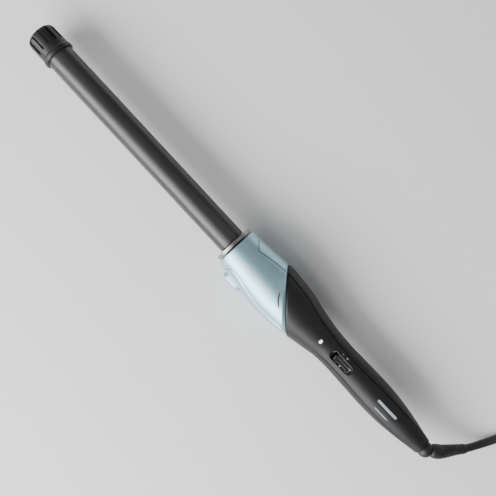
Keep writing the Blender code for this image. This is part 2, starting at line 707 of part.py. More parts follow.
def make_board():
    low, high = AXIS_Z + BOARD["low"], AXIS_Z + BOARD["high"]
    block("circuit_board", (BOARD["back"], -BOARD["half"], low), (BOARD["front"], BOARD["half"], high),
          "board_green")
    on_top, below = high + GAP, low - GAP
    rod("indicator_led", BOARD["high"] + GAP, 6.6, 1.4, "lamp_white", "Z", (LED_X, 0, AXIS_Z))
    slide = block("slide_switch", (-113.5, -3.2, on_top), (-93.5, 3.2, AXIS_Z + 6.9), "chip_black")
    cut(slide, block("slide_track", (-108.8, -1.2, AXIS_Z + 6.1), (-96.8, 1.2, AXIS_Z + 9), helper=True))
    block("controller_chip", (-128.0, -2.6, on_top), (-119.0, 2.6, on_top + 1.6), "chip_black")
    block("film_capacitor", (-132.0, -3.0, below - 6.0), (-119.0, 3.0, below), "capacitor_yellow", 0.6)
    block("triac", (-147.0, -4.6, below - 4.4), (-138.0, 4.6, below), "chip_black")


def make_wires():
    reds = ("wire_red", "wire_blue", "wire_white")
    ends = ((-77.5, 5.0, -2.0), (-77.5, -5.0, -2.0), (-77.5, 4.6, -5.0))
    for number, ((y, z), end, colour) in enumerate(zip(PIN_PLACES, ends, reds), 1):
        side = 7.5 if end[1] > 0 else -7.5
        low = -6.5 if number == 3 else 1.0
        route = ((-36.4, y, AXIS_Z + z), (-38.2, y + (side - y) * 0.45, AXIS_Z + z),
                 (-41.5, side, AXIS_Z + low), (-62.0, side * 0.9, AXIS_Z + low),
                 (-71.0, side * 0.75, AXIS_Z + end[2]), (end[0] - 8.0, end[1], AXIS_Z + end[2]))
        wire(f"head_wire_{number}", route, 0.7, colour)
    for number, side in enumerate((1, -1), 1):
        route = ((-149.0, side * 5.6, AXIS_Z - 1.2), (-154.0, side * 5.4, AXIS_Z - 2.4),
                 (-160.0, side * 4.8, AXIS_Z - 2.6), (-164.6, side * 3.9, AXIS_Z - 2.6))
        wire(f"mains_wire_{number}", route, 0.7, reds[number - 1])


def make_swivel():
    """Ball on a neck with a retaining disc, its two slip contacts, and the brushes beside them."""
    steps = 10
    start = math.asin(2.6 / BALL_R)
    arc = []
    for k in range(steps + 1):
        turn = math.pi - (math.pi - start) * k / steps
        arc.append((BALL_X + BALL_R * math.cos(turn), BALL_R * math.sin(turn)))
    arc[0] = (BALL_X - BALL_R, 0.0)
    outline = arc + [(-173.6, 2.6), (-173.6, 4.4), (-171.6, 4.4), (-171.6, 2.0), (-165.4, 2.0), (-165.4, 1.2),
                     (-170.0, 1.2), (-170.0, 0)]
    ball = on_axis("swivel_ball", outline, "rubber_black", 24)
    ring = on_axis("slip_ring", ((-168.9, 2.35), (-168.9, 2.8), (-166.7, 2.8), (-166.7, 2.35)), "brass", 16)
    pin = on_axis("slip_pin", ((-169.7, 0), (-169.7, 0.8), (-162.6, 0.8), (-162.0, 0)), "brass", 12)
    block("brush_contact_1", (-168.6, -0.8, AXIS_Z + 3.2), (-163.0, 0.8, AXIS_Z + 3.7), "copper")
    block("brush_contact_2", (-161.6, -0.9, AXIS_Z - 1.6), (-161.0, 0.9, AXIS_Z + 1.6), "copper")
    return ball, ring, pin


def make_cord():
    widths = [r / RELIEF_RADII[0] for r in RELIEF_RADII]
    relief = tube("strain_relief", [Vector(p) * MM for p in RELIEF_ROUTE], RELIEF_RADII[0], "rubber_black", 3, widths)
    relief.data.splines[0].use_smooth = True
    tube("power_cord", smooth_route(CORD_ROUTE, 7.0), CORD_R, "rubber_black", 2)
    x, y = COIL_CENTRE
    inner, outer, high = COIL_INNER_R, COIL_OUTER_R, COIL_HEIGHT
    corner = 1.6
    outline = ((0.0, inner + corner), (0.0, outer - corner), (corner, outer), (high - corner, outer),
               (high, outer - corner), (high, inner + corner), (high - corner, inner), (corner, inner))
    coil = turned("cord_coil", outline, "rubber_black", 32, "Z", (x, y, 0))
    make_tie(coil)
    tube("cord_tail", smooth_route(TAIL_ROUTE, 6.0), CORD_R, "rubber_black", 2)


def make_tie(coil):
    """Flat strap round the coil's bundle; the coil is pinched by the strap's thickness there."""
    x, y = COIL_CENTRE
    turn = Matrix.Translation(Vector((x, y, 0)) * MM) @ Matrix.Rotation(math.radians(60), 4, "Z")
    low, high = COIL_INNER_R - 0.6, COIL_OUTER_R + 0.6

    def strap(name, grow, slot, helper):
        frame = block(name, (low - grow, -4 - grow, -grow), (high + grow, 4 + grow, COIL_HEIGHT + 0.6 + grow),
                      slot, helper=helper)
        inner = 1.0 + grow
        hole = block(name + "_inside", (low + inner, -9, inner), (high - inner, 9, COIL_HEIGHT + 0.6 - inner),
                     helper=True)
        frame.matrix_world = turn
        hole.matrix_world = turn
        return cut(frame, hole)

    strap("cord_tie", 0.0, "rubber_black", False)
    pinch = strap("tie_pinch", GAP, "", True)
    cut(coil, pinch)


def make_plug():
    x, z, deep, half = PLUG["x"], PLUG["z"], PLUG["deep"], PLUG["half"]
    low, high = PLUG["body"]
    rings = []
    for y, share, tall in ((low, 0.55, 0.62), (low + 3, 0.72, 0.85), (low + 12, 0.92, 1.0),
                           (high - 1.2, 1.0, 1.0), (high, 0.93, 0.9)):
        w, h, c = half * share, deep * tall, 2.6
        corners = ((w, h - c), (w - c, h), (c - w, h), (-w, h - c), (-w, c - h), (c - w, -h), (w - c, -h), (w, c - h))
        rings.append([(x + u, y, z + v) for u, v in corners])
    lofted("plug_body", rings, "rubber_black")
    back, front = PLUG["relief"]
    start, end = Vector((x, back, 17.4)) * MM, Vector((x, front, z)) * MM
    points = [start.lerp(end, k / 4) for k in range(5)]
    tube("plug_relief", points, 3.2, "rubber_black", 2, [1.0, 1.08, 1.18, 1.32, 1.5])
    for number, side in enumerate((1, -1), 1):
        mid = x + side * BLADE["apart"] / 2
        block(f"plug_blade_{number}", (mid - BLADE["thick"] / 2, high + GAP, z - BLADE["wide"] / 2),
              (mid + BLADE["thick"] / 2, BLADE["end_y"], z + BLADE["wide"] / 2), "brass", 0.3)


def on_joint(name, place, pieces):
    """Parents pieces to an empty that stands on their joint's axis."""
    joint = bpy.data.objects.new(name, None)
    joint.location = Vector(place) * MM
    bpy.context.scene.collection.objects.link(joint)
    bpy.context.view_layer.update()
    for piece in pieces:
        piece.parent = joint
        piece.matrix_parent_inverse = joint.matrix_world.inverted()


def main():
    clear_scene()
    make_shells()
    make_screws()
    make_socket()
    barrel = make_barrel()
    button, plate, spring = make_release()
    slider = make_switch()
    make_board()
    make_wires()
    stand = make_stand()
    swivel = make_swivel()
    make_cord()
    make_plug()
    on_joint("barrel_joint", (0, 0, AXIS_Z), barrel)
    on_joint("button_joint", (BUTTON["x"], BUTTON["face_y"], AXIS_Z), (button, plate))
    on_joint("spring_seat", (SPRING_X, SOCKET_R, AXIS_Z), (spring,))
    on_joint("switch_joint", (SLIDER["x"], 0, AXIS_Z + SLIDER["top"]), (slider,))
    on_joint("stand_joint", (STAND["pivot_x"], 0, STAND["pivot_z"]), stand)
    on_joint("swivel_joint", (BALL_X, 0, AXIS_Z), swivel)


main()
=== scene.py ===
# Curling wand on its folded stand, with its cord wound beside it: the visible pieces and materials.
import json
import math

import bmesh
import bpy
import numpy as np
from mathutils import Matrix, Vector


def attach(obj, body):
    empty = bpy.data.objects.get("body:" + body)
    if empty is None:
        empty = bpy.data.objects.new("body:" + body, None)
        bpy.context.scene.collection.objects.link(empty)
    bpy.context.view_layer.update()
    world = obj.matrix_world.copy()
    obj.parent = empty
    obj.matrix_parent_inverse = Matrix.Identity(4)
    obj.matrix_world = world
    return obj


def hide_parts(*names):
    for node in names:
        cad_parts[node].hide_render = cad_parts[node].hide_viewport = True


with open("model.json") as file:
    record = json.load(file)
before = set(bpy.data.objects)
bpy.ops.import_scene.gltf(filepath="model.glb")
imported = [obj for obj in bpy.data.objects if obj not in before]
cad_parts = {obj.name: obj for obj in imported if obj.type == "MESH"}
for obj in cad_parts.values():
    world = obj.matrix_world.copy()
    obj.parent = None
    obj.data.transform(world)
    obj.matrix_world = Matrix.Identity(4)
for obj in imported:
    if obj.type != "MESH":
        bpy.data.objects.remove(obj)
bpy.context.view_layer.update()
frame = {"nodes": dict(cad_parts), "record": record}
nodes = frame["nodes"]
mm = 0.001
axisHeight = 19.0  # of the tool's axis above the surface, in mm like every size below
print("frame loaded:", len(nodes), "nodes")

# Small modelling helpers


def deselectAll():
    if bpy.context.object and bpy.context.object.mode != "OBJECT":
        bpy.ops.object.mode_set(mode="OBJECT")
    bpy.ops.object.select_all(action="DESELECT")


def makeActive(piece):
    deselectAll()
    piece.select_set(True)
    bpy.context.view_layer.objects.active = piece


def nameNew(name):
    piece = bpy.context.object
    piece.name = piece.data.name = name
    return piece


def applyPlace(piece):
    makeActive(piece)
    bpy.ops.object.transform_apply(location=True, rotation=True, scale=True)


def modify(piece, kind, **values):
    makeActive(piece)
    modifier = piece.modifiers.new(kind.title(), kind)
    for key, value in values.items():
        setattr(modifier, key, value)
    bpy.ops.object.modifier_apply(modifier=modifier.name)


def cutAway(piece, *cutters, operation="DIFFERENCE"):
    for cutter in cutters:
        modify(piece, "BOOLEAN", operation=operation, object=cutter, solver="EXACT")
        bpy.data.objects.remove(cutter, do_unlink=True)


def roundEdges(piece, size, segments, angle=None):
    # Bevels the edges that turn by more than the angle, in degrees
    limits = {"angle_limit": math.radians(angle)} if angle else {}
    modify(piece, "BEVEL", width=size * mm, segments=segments, limit_method="ANGLE", **limits)


def smoothOver(piece, angle=32):
    makeActive(piece)
    bpy.ops.object.shade_smooth_by_angle(angle=math.radians(angle))


def faceOutwards(piece, merge=0.002):
    makeActive(piece)
    bpy.ops.object.mode_set(mode="EDIT")
    bpy.ops.mesh.select_all(action="SELECT")
    bpy.ops.mesh.remove_doubles(threshold=merge * mm)
    bpy.ops.mesh.normals_make_consistent(inside=False)
    bpy.ops.object.mode_set(mode="OBJECT")


def selectWhere(piece, kind, wanted):
    # Leaves the piece in edit mode with only the wanted faces or edges selected
    makeActive(piece)
    bpy.ops.object.mode_set(mode="EDIT")
    bpy.ops.mesh.select_mode(type=kind)
    bpy.ops.mesh.select_all(action="DESELECT")
    mesh = bmesh.from_edit_mesh(piece.data)
    mesh.normal_update()
    for item in mesh.faces if kind == "FACE" else mesh.edges:
        item.select_set(bool(wanted(item)))
    mesh.select_flush_mode()
    bmesh.update_edit_mesh(piece.data)


def bevelWhere(piece, wanted, size, segments):
    selectWhere(piece, "EDGE", wanted)
    bpy.ops.mesh.bevel(offset=size * mm, segments=segments, affect="EDGES")
    bpy.ops.object.mode_set(mode="OBJECT")


def drawOut(move, scale):
    # Extrudes the selected face by a move in mm, then scales it
    bpy.ops.mesh.extrude_region_move(TRANSFORM_OT_translate={"value": [m * mm for m in move]})
    bpy.ops.transform.resize(value=scale)


def finish(piece, body, slot, material, *replaced):
    piece.data.materials.clear()
    piece.data.materials.append(material)
    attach(piece, body)
    if replaced:
        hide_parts(*replaced)
    return piece


def turned(name, rings, steps=72, along="X", origin=(0, 0, axisHeight), closed=False, angle=30):
    # A circle extruded and scaled from ring to ring: (distance along, radius) in mm
    pole, mergeGap = 0.02, 0.003  # the least radius, and how near two vertices are to become one
    deselectAll()
    turn = {"X": (0, math.pi / 2, 0), "Y": (-math.pi / 2, 0, 0), "Z": (0, 0, 0)}[along]
    way = {"X": Vector((1, 0, 0)), "Y": Vector((0, 1, 0)), "Z": Vector((0, 0, 1))}[along]
    base = Vector(origin) * mm
    start, radius = rings[0][0], max(rings[0][1], pole)
    bpy.ops.mesh.primitive_circle_add(
        vertices=steps, radius=radius * mm, location=base + way * start * mm, rotation=turn
    )
    piece = nameNew(name)
    bpy.ops.object.mode_set(mode="EDIT")
    bpy.ops.mesh.select_mode(type="VERT")
    bpy.ops.mesh.select_all(action="SELECT")
    last = start
    for place, width in rings[1:]:
        width = max(width, pole)
        bpy.ops.mesh.extrude_region_move(TRANSFORM_OT_translate={"value": way * (place - last) * mm})
        grow = width / radius
        scale = [1.0 if abs(w) > 0.5 else grow for w in way]
        bpy.ops.transform.resize(value=scale)
        last, radius = place, width
    bpy.ops.mesh.select_all(action="SELECT")
    if closed:
        bpy.ops.mesh.remove_doubles(threshold=mergeGap * mm)
    else:
        bpy.ops.mesh.fill_holes(sides=0)
    bpy.ops.mesh.select_all(action="SELECT")
    bpy.ops.mesh.normals_make_consistent(inside=False)
    bpy.ops.object.mode_set(mode="OBJECT")
    applyPlace(piece)
    smoothOver(piece, angle)
    return piece


def rounded(corners, steps=4):
    # (distance along, radius, corner round) to rings with each corner turned into a small arc
    rings = []
    count = len(corners)
    for i, (x, r, size) in enumerate(corners):
        if not size or i in (0, count - 1):
            rings.append((x, r))
            continue
        here = Vector((x, r))
        toBack = Vector(corners[i - 1][:2]) - here
        toFront = Vector(corners[i + 1][:2]) - here
        reach = min(size, toBack.length * 0.48, toFront.length * 0.48)
        a, b = here + toBack.normalized() * reach, here + toFront.normalized() * reach
        for k in range(steps + 1):
            t = k / steps
            point = a * (1 - t) ** 2 + here * 2 * t * (1 - t) + b * t**2
            rings.append((point.x, point.y))
    return rings


def box(name, low, high, bevel=0.0, segments=3):
    deselectAll()
    middle = [(a + b) / 2 * mm for a, b in zip(low, high)]
    bpy.ops.mesh.primitive_cube_add(size=1, location=middle)
    piece = nameNew(name)
    piece.scale = [(b - a) * mm for a, b in zip(low, high)]
    applyPlace(piece)
    if bevel:
        roundEdges(piece, bevel, segments)
    return piece


def stadiumBlock(name, centre, size, low, high, up="Z", segments=14):
    # A block with fully round ends: size is (length, width), low to high along up
    length, width = size
    start = (centre[0] - length / 2, centre[1] - width / 2)
    end = (centre[0] + length / 2, centre[1] + width / 2)
    if up == "Z":
        wayIndex, corners = 2, ((*start, low), (*end, high))
    else:
        wayIndex, corners = 1, ((start[0], low, start[1]), (end[0], high, end[1]))
    piece = box(name, *corners)

    def upright(edge):
        a, b = (v.co for v in edge.verts)
        return abs((a - b)[wayIndex]) > 0.9 * (a - b).length

    bevelWhere(piece, upright, min(length, width) / 2 - 0.01, segments)
    return piece


def smoothTable(table, x, column):
    # The value of a table of stations at x, on a curve through them
    keys = np.array([row[0] for row in table], float)
    values = np.array([row[column] for row in table], float)
    slopes = np.empty_like(values)
    slopes[1:-1] = (values[2:] - values[:-2]) / (keys[2:] - keys[:-2])
    slopes[0] = (values[1] - values[0]) / (keys[1] - keys[0])
    slopes[-1] = (values[-1] - values[-2]) / (keys[-1] - keys[-2])
    k = np.clip(np.searchsorted(-keys, -np.asarray(x, float)) - 1, 0, len(keys) - 2)
    span = keys[k + 1] - keys[k]
    t = np.clip((x - keys[k]) / span, 0, 1)
    return (
        values[k] * (2 * t**3 - 3 * t**2 + 1)
        + slopes[k] * span * (t**3 - 2 * t**2 + t)
        + values[k + 1] * (3 * t**2 - 2 * t**3)
        + slopes[k + 1] * span * (t**3 - t**2)
    )


def smoothRoute(route, spacing):
    # Points in metres on a smooth curve through a route in mm
    points = [Vector(p) for p in route]
    found = []
    for k in range(len(points) - 1):
        a, b = points[k], points[k + 1]
        before, after = points[max(k - 1, 0)], points[min(k + 2, len(points) - 1)]
        count = max(1, round((b - a).length / spacing))
        for i in range(count):
            t = i / count
            found.append(
                a * (2 * t**3 - 3 * t**2 + 1)
                + (b - before) / 2 * (t**3 - 2 * t**2 + t)
                + b * (3 * t**2 - 2 * t**3)
                + (after - a) / 2 * (t**3 - t**2)
            )
    found.append(points[-1])
    return [p * mm for p in found]


def curveTube(name, points, radius, sides=6, widths=None, solid=False):
    curve = bpy.data.curves.new(name, "CURVE")
    curve.dimensions = "3D"
    curve.bevel_depth = radius * mm
    curve.bevel_resolution = sides
    curve.use_fill_caps = True
    line = curve.splines.new("POLY")
    line.points.add(len(points) - 1)
    for i, point in enumerate(points):
        line.points[i].co = (*point, 1)
        line.points[i].radius = widths[i] if widths else 1
    line.use_smooth = True
    piece = bpy.data.objects.new(name, curve)
    bpy.context.scene.collection.objects.link(piece)
    if solid:
        makeActive(piece)
        bpy.ops.object.convert(target="MESH")
        piece = bpy.context.object
        faceOutwards(piece)
        smoothOver(piece, 40)
    return piece


# Camera, light and floor

view = {"aim": (-6.8, -4.9, 19.0), "distance": 455.0, "elevation": 81.0, "right": (-0.676, -0.737)}


def makeCamera():
    aim = Vector(view["aim"]) * mm
    tilt = math.radians(view["elevation"])
    place = aim + Vector((0, -math.cos(tilt), math.sin(tilt))) * view["distance"] * mm
    ahead = (aim - place).normalized()
    right = Vector((*view["right"], 0)).normalized()
    right = (right - right.dot(ahead) * ahead).normalized()
    up = right.cross(ahead)
    data = bpy.data.cameras.new("camera")
    data.lens, data.sensor_width = 50, 36
    data.clip_start, data.clip_end = 0.01, 20
    camera = bpy.data.objects.new("camera", data)
    camera.matrix_world = Matrix.Translation(place) @ Matrix((right, up, -ahead)).transposed().to_4x4()
    bpy.context.scene.collection.objects.link(camera)
    bpy.context.scene.camera = camera


def softLight(name, place, aim, size, power, colour=(1, 1, 1)):
    data = bpy.data.lights.new(name, "AREA")
    data.shape, data.size, data.size_y = "RECTANGLE", size[0], size[1]
    data.energy, data.color = power, colour
    lamp = bpy.data.objects.new(name, data)
    way = (Vector(aim) - Vector(place)).normalized()
    lamp.matrix_world = Matrix.Translation(Vector(place)) @ way.to_track_quat("-Z", "Y").to_matrix().to_4x4()
    bpy.context.scene.collection.objects.link(lamp)


def makeFloor():
    deselectAll()
    bpy.ops.mesh.primitive_plane_add(size=6, location=(0, 0, -0.0002))
    floor = nameNew("floor")
    paper = bpy.data.materials.new("palePaper")
    paper.use_nodes = True
    shader = paper.node_tree.nodes["Principled BSDF"]
    shader.inputs["Base Color"].default_value = (0.74, 0.74, 0.735, 1)
    shader.inputs["Roughness"].default_value = 0.85
    shader.inputs["Specular IOR Level"].default_value = 0.2
    floor.data.materials.append(paper)


makeCamera()
makeFloor()
softLight("mainSoftbox", (0.05, 0.85, 0.62), (0, 0, 0.02), (1.7, 0.72), 36)
softLight("upperSoftbox", (0.0, 0.45, 1.1), (0, 0, 0.02), (1.3, 0.5), 5)
softLight("fillSoftbox", (-0.5, -1.1, 0.9), (0, 0, 0.02), (1.2, 1.2), 2.2, (0.93, 0.96, 1))
softLight("endSoftbox", (1.1, -0.1, 0.7), (0, 0, 0.02), (0.7, 0.7), 2)
world = bpy.data.worlds.new("studio")
world.use_nodes = True
world.node_tree.nodes["Background"].inputs[0].default_value = (0.80, 0.81, 0.83, 1)
world.node_tree.nodes["Background"].inputs[1].default_value = 0.24
bpy.context.scene.world = world
print("camera and light ready")

# Shared material groups


def newGroup(name, inputs, outputs):
    group = bpy.data.node_groups.new(name, "ShaderNodeTree")
    for label, kind, value in inputs:
        socket = group.interface.new_socket(name=label, in_out="INPUT", socket_type="NodeSocket" + kind)
        if value is not None:
            socket.default_value = value
    for label, kind in outputs:
        group.interface.new_socket(name=label, in_out="OUTPUT", socket_type="NodeSocket" + kind)
    return group, group.nodes.new("NodeGroupInput"), group.nodes.new("NodeGroupOutput")


def addNode(tree, kind, inputs=(), **settings):
    node = tree.nodes.new("ShaderNode" + kind)
    for key, value in settings.items():
        setattr(node, key, value)
    for key, value in dict(inputs).items():
        if isinstance(value, bpy.types.NodeSocket):
            tree.links.new(value, node.inputs[key])
        else:
            node.inputs[key].default_value = value
    return node


def multiply(tree, a, b):
    return addNode(tree, "Math", {0: a, 1: b}, operation="MULTIPLY").outputs[0]


def makeGrainGroup():
    # Fine moulded or sprayed grain: a height, and a mask that drifts slowly over the surface
    group, given, out = newGroup(
        "mouldedGrain",
        (("Vector", "Vector", None), ("Grain Size", "Float", 2500.0), ("Drift Size", "Float", 60.0)),
        (("Height", "Float"), ("Drift", "Float"), ("Speck", "Float")),
    )
    fine = addNode(group, "TexNoise", {"Vector": given.outputs["Vector"], "Scale": given.outputs["Grain Size"],
                                       "Detail": 3.0, "Roughness": 0.6})
    drift = addNode(group, "TexNoise", {"Vector": given.outputs["Vector"], "Scale": given.outputs["Drift Size"],
                                        "Detail": 4.0, "Roughness": 0.55})
    half = multiply(group, given.outputs["Grain Size"], 0.6)
    cells = addNode(group, "TexVoronoi", {"Vector": given.outputs["Vector"], "Scale": half})
    speck = addNode(group, "MapRange", {"Value": cells.outputs["Distance"], "From Min": 0.0, "From Max": 0.35,
                                        "To Min": 1.0, "To Max": 0.0})
    group.links.new(fine.outputs["Fac"], out.inputs["Height"])
    group.links.new(drift.outputs["Fac"], out.inputs["Drift"])
    group.links.new(speck.outputs["Result"], out.inputs["Speck"])
    return group


def makeSmudgeGroup():
    # Handling: soft smears that only change how rough the surface is
    group, given, out = newGroup(
        "handlingSmears",
        (("Vector", "Vector", None), ("Size", "Float", 45.0), ("Low", "Float", 0.3), ("High", "Float", 0.4)),
        (("Roughness", "Float"),),
    )
    warp = addNode(group, "TexNoise", {"Vector": given.outputs["Vector"], "Scale": given.outputs["Size"],
                                       "Detail": 5.0, "Roughness": 0.65, "Distortion": 0.8})
    spread = addNode(group, "MapRange", {"Value": warp.outputs["Fac"], "From Min": 0.3, "From Max": 0.7,
                                         "To Min": given.outputs["Low"], "To Max": given.outputs["High"]})
    group.links.new(spread.outputs["Result"], out.inputs["Roughness"])
    return group


grainGroup = makeGrainGroup()
smearGroup = makeSmudgeGroup()


def makeMaterial(name, colour, second, rough, metallic=0.0, grain=2500.0, bump=0.02, coat=0.0, coatRough=0.1,
                 drift=60.0, speck=0.0, specular=0.5, emission=0.0, stretch=(1, 1, 1)):
    material = bpy.data.materials.new(name)
    material.use_nodes = True
    tree = material.node_tree
    shader = tree.nodes["Principled BSDF"]
    place = addNode(tree, "TexCoord")
    turn = addNode(tree, "Mapping", {"Vector": place.outputs["Object"], "Scale": stretch})
    skin = addNode(tree, "Group", node_tree=grainGroup)
    tree.links.new(turn.outputs["Vector"], skin.inputs["Vector"])
    skin.inputs["Grain Size"].default_value = grain
    skin.inputs["Drift Size"].default_value = drift
    smears = addNode(tree, "Group", node_tree=smearGroup)
    tree.links.new(place.outputs["Object"], smears.inputs["Vector"])
    smears.inputs["Low"].default_value, smears.inputs["High"].default_value = rough
    tint = addNode(tree, "Mix", {0: skin.outputs["Drift"], 6: (*colour, 1), 7: (*second, 1)}, data_type="RGBA")
    base = tint.outputs[2]
    if speck:
        amount = multiply(tree, skin.outputs["Speck"], speck)
        lighter = [min(1.0, c * 1.9 + 0.03) for c in second]
        base = addNode(tree, "Mix", {0: amount, 6: base, 7: (*lighter, 1)}, data_type="RGBA").outputs[2]
    tree.links.new(base, shader.inputs["Base Color"])
    tree.links.new(smears.outputs["Roughness"], shader.inputs["Roughness"])
    raised = addNode(tree, "Bump", {"Height": skin.outputs["Height"], "Strength": bump, "Distance": 0.0004})
    tree.links.new(raised.outputs["Normal"], shader.inputs["Normal"])
    shader.inputs["Metallic"].default_value = metallic
    shader.inputs["Coat Weight"].default_value = coat
    shader.inputs["Coat Roughness"].default_value = coatRough
    shader.inputs["Specular IOR Level"].default_value = specular
    if emission:
        shader.inputs["Emission Color"].default_value = (*colour, 1)
        shader.inputs["Emission Strength"].default_value = emission
    return material


iceBlue = makeMaterial("iceBlueLacquer", (0.37, 0.61, 0.70), (0.41, 0.65, 0.745), (0.37, 0.43), metallic=0.85,
                       grain=5200, bump=0.04, coat=0.5, coatRough=0.2, speck=0.14, drift=25)
handleBlack = makeMaterial("handleBlack", (0.008, 0.008, 0.009), (0.013, 0.013, 0.014), (0.40, 0.48),
                           grain=3200, bump=0.16, specular=0.36)
glossBlack = makeMaterial("glossBlack", (0.007, 0.007, 0.008), (0.012, 0.012, 0.013), (0.10, 0.18), bump=0.01,
                          coat=0.5)
capBlack = makeMaterial("switchCapBlack", (0.008, 0.008, 0.009), (0.012, 0.012, 0.013), (0.20, 0.27), bump=0.05,
                        specular=0.6)
barrelCoat = makeMaterial("barrelCoat", (0.058, 0.056, 0.057), (0.070, 0.068, 0.068), (0.29, 0.35), metallic=0.6,
                          grain=4200, bump=0.08, speck=0.10, stretch=(0.35, 1, 1))
collarMetal = makeMaterial("collarMetal", (0.34, 0.30, 0.295), (0.41, 0.365, 0.36), (0.30, 0.38), metallic=1.0,
                           grain=1800, bump=0.05, stretch=(1, 0.1, 0.1))
tipBlack = makeMaterial("tipBlack", (0.009, 0.009, 0.010), (0.015, 0.015, 0.016), (0.36, 0.46), grain=3000,
                        bump=0.14, specular=0.42)
steel = makeMaterial("plainSteel", (0.50, 0.51, 0.52), (0.60, 0.61, 0.62), (0.24, 0.34), metallic=1, bump=0.04)
brass = makeMaterial("contactBrass", (0.68, 0.48, 0.20), (0.76, 0.56, 0.26), (0.22, 0.34), metallic=1, bump=0.04)
copper = makeMaterial("copperStrip", (0.66, 0.34, 0.22), (0.76, 0.42, 0.28), (0.26, 0.38), metallic=1, bump=0.04)
aluminium = makeMaterial("heaterAluminium", (0.62, 0.63, 0.64), (0.72, 0.73, 0.74), (0.32, 0.44), metallic=1,
                         bump=0.08, stretch=(0.05, 1, 1))
ceramic = makeMaterial("firedCeramic", (0.52, 0.49, 0.44), (0.62, 0.59, 0.54), (0.55, 0.7), bump=0.15)
amberFilm = makeMaterial("amberFilm", (0.50, 0.20, 0.03), (0.66, 0.30, 0.06), (0.22, 0.34), bump=0.05)
boardGreen = makeMaterial("boardGreen", (0.02, 0.14, 0.05), (0.04, 0.20, 0.08), (0.28, 0.4), bump=0.06)
chipBlack = makeMaterial("chipBlack", (0.015, 0.015, 0.016), (0.028, 0.028, 0.03), (0.45, 0.6), bump=0.1)
yellowBox = makeMaterial("capacitorYellow", (0.60, 0.42, 0.06), (0.74, 0.54, 0.10), (0.34, 0.46), bump=0.06)
lampWhite = makeMaterial("lampWhite", (0.86, 0.90, 0.94), (0.94, 0.96, 0.98), (0.10, 0.2), bump=0.01,
                         emission=0.9)
cordBlack = makeMaterial("cordVinyl", (0.008, 0.008, 0.009), (0.014, 0.014, 0.015), (0.42, 0.54), grain=1500,
                         bump=0.10)
plugBlack = makeMaterial("plugVinyl", (0.009, 0.009, 0.010), (0.016, 0.016, 0.017), (0.44, 0.58), grain=2200,
                         bump=0.14)
tieBlack = makeMaterial("tieStrap", (0.010, 0.010, 0.011), (0.030, 0.030, 0.033), (0.72, 0.88), grain=1400,
                        bump=0.5)
wireRed = makeMaterial("wireRed", (0.42, 0.02, 0.02), (0.54, 0.04, 0.04), (0.38, 0.5), bump=0.05)
wireBlue = makeMaterial("wireBlue", (0.03, 0.08, 0.38), (0.05, 0.12, 0.50), (0.38, 0.5), bump=0.05)
wireWhite = makeMaterial("wireWhite", (0.68, 0.68, 0.65), (0.80, 0.80, 0.77), (0.38, 0.5), bump=0.05)
darkInk = makeMaterial("darkInk", (0.03, 0.035, 0.04), (0.05, 0.055, 0.06), (0.4, 0.5), bump=0.05)
paleInk = makeMaterial("paleInk", (0.34, 0.39, 0.42), (0.42, 0.47, 0.50), (0.4, 0.5), bump=0.05)
slotMaterials = {
    "ice_blue": iceBlue, "black_shell": handleBlack, "gloss_black": glossBlack, "barrel_coat": barrelCoat,
    "collar_metal": collarMetal, "tip_black": tipBlack, "steel": steel, "brass": brass, "copper": copper,
    "aluminium": aluminium, "ceramic": ceramic, "amber_film": amberFilm, "board_green": boardGreen,
    "chip_black": chipBlack, "capacitor_yellow": yellowBox, "lamp_white": lampWhite, "rubber_black": plugBlack,
    "wire_red": wireRed, "wire_blue": wireBlue, "wire_white": wireWhite,
}
for part in frame["record"]["subparts"]:
    node = nodes[part["node"]]
    for place in node.material_slots:
        place.material = slotMaterials[part["material_slot"]]
print("materials ready")

# Cord, coil, tie and plug

cord = {
    "radius": 2.7,
    "length": 1.6,
    "coilCentre": (-292.0, -31.0),
    "innerRing": 22.9,
    "outerRing": 39.1,
    "laps": 7,
    "lapPoints": 36,
    "spacing": 5.0,
    "tailRadius": 28.0,
    "tailHeights": ((15, 10.3), (30, 12.0), (45, 13.2), (60, 14.2), (75, 15.6), (90, 17.0)),  # (degrees, height)
    "tailEnd": (4.0, 17.5),  # how far past the bend, and how high
}
cordStart = ((-192.0, -5.3, 16.2), (-196.2, -9.2, 13.8), (-199.4, -12.8, 11.8), (-202.4, -15.8, 10.0))
cordRoute = (
    (-205.3, -18.95, 8.2), (-208.6, -23.7, 5.8), (-211.8, -29.2, 3.9), (-214.6, -35.0, 2.9), (-217.6, -43.0, 2.75),
    (-222.5, -51.5, 2.75), (-230.0, -59.5, 2.75), (-240.5, -65.8, 2.75), (-254.0, -69.3, 2.75), (-263.0, -70.2, 2.75),
    (-276.0, -70.5, 2.75), (-284.0, -70.3, 2.75),
)


def ease(t):
    t = min(max(t, 0.0), 1.0)
    return t * t * (3 - 2 * t)


def coilPoint(degrees):
    # A point of the winding after so many degrees: three laps in, one that climbs, three out on top.
    # Each change of ring or of layer takes a third of a lap.
    pitch, third = 2 * cord["radius"], 120.0
    lap, phase = divmod(degrees, 360.0)
    radius, height = cord["innerRing"], cord["radius"]
    if lap < 3:
        radius = cord["outerRing"] - pitch * (lap + ease((phase - 2 * third) / third))
    elif lap < 4:
        height += pitch * ease((phase - third) / third)
    else:
        height += pitch
        radius += pitch * (min(lap, 6) - 4 + (ease(phase / third) if lap < 7 else 1))
    angle = math.radians(-90 - degrees)
    x, y = cord["coilCentre"]
    return (x + radius * math.cos(angle), y + radius * math.sin(angle), height)


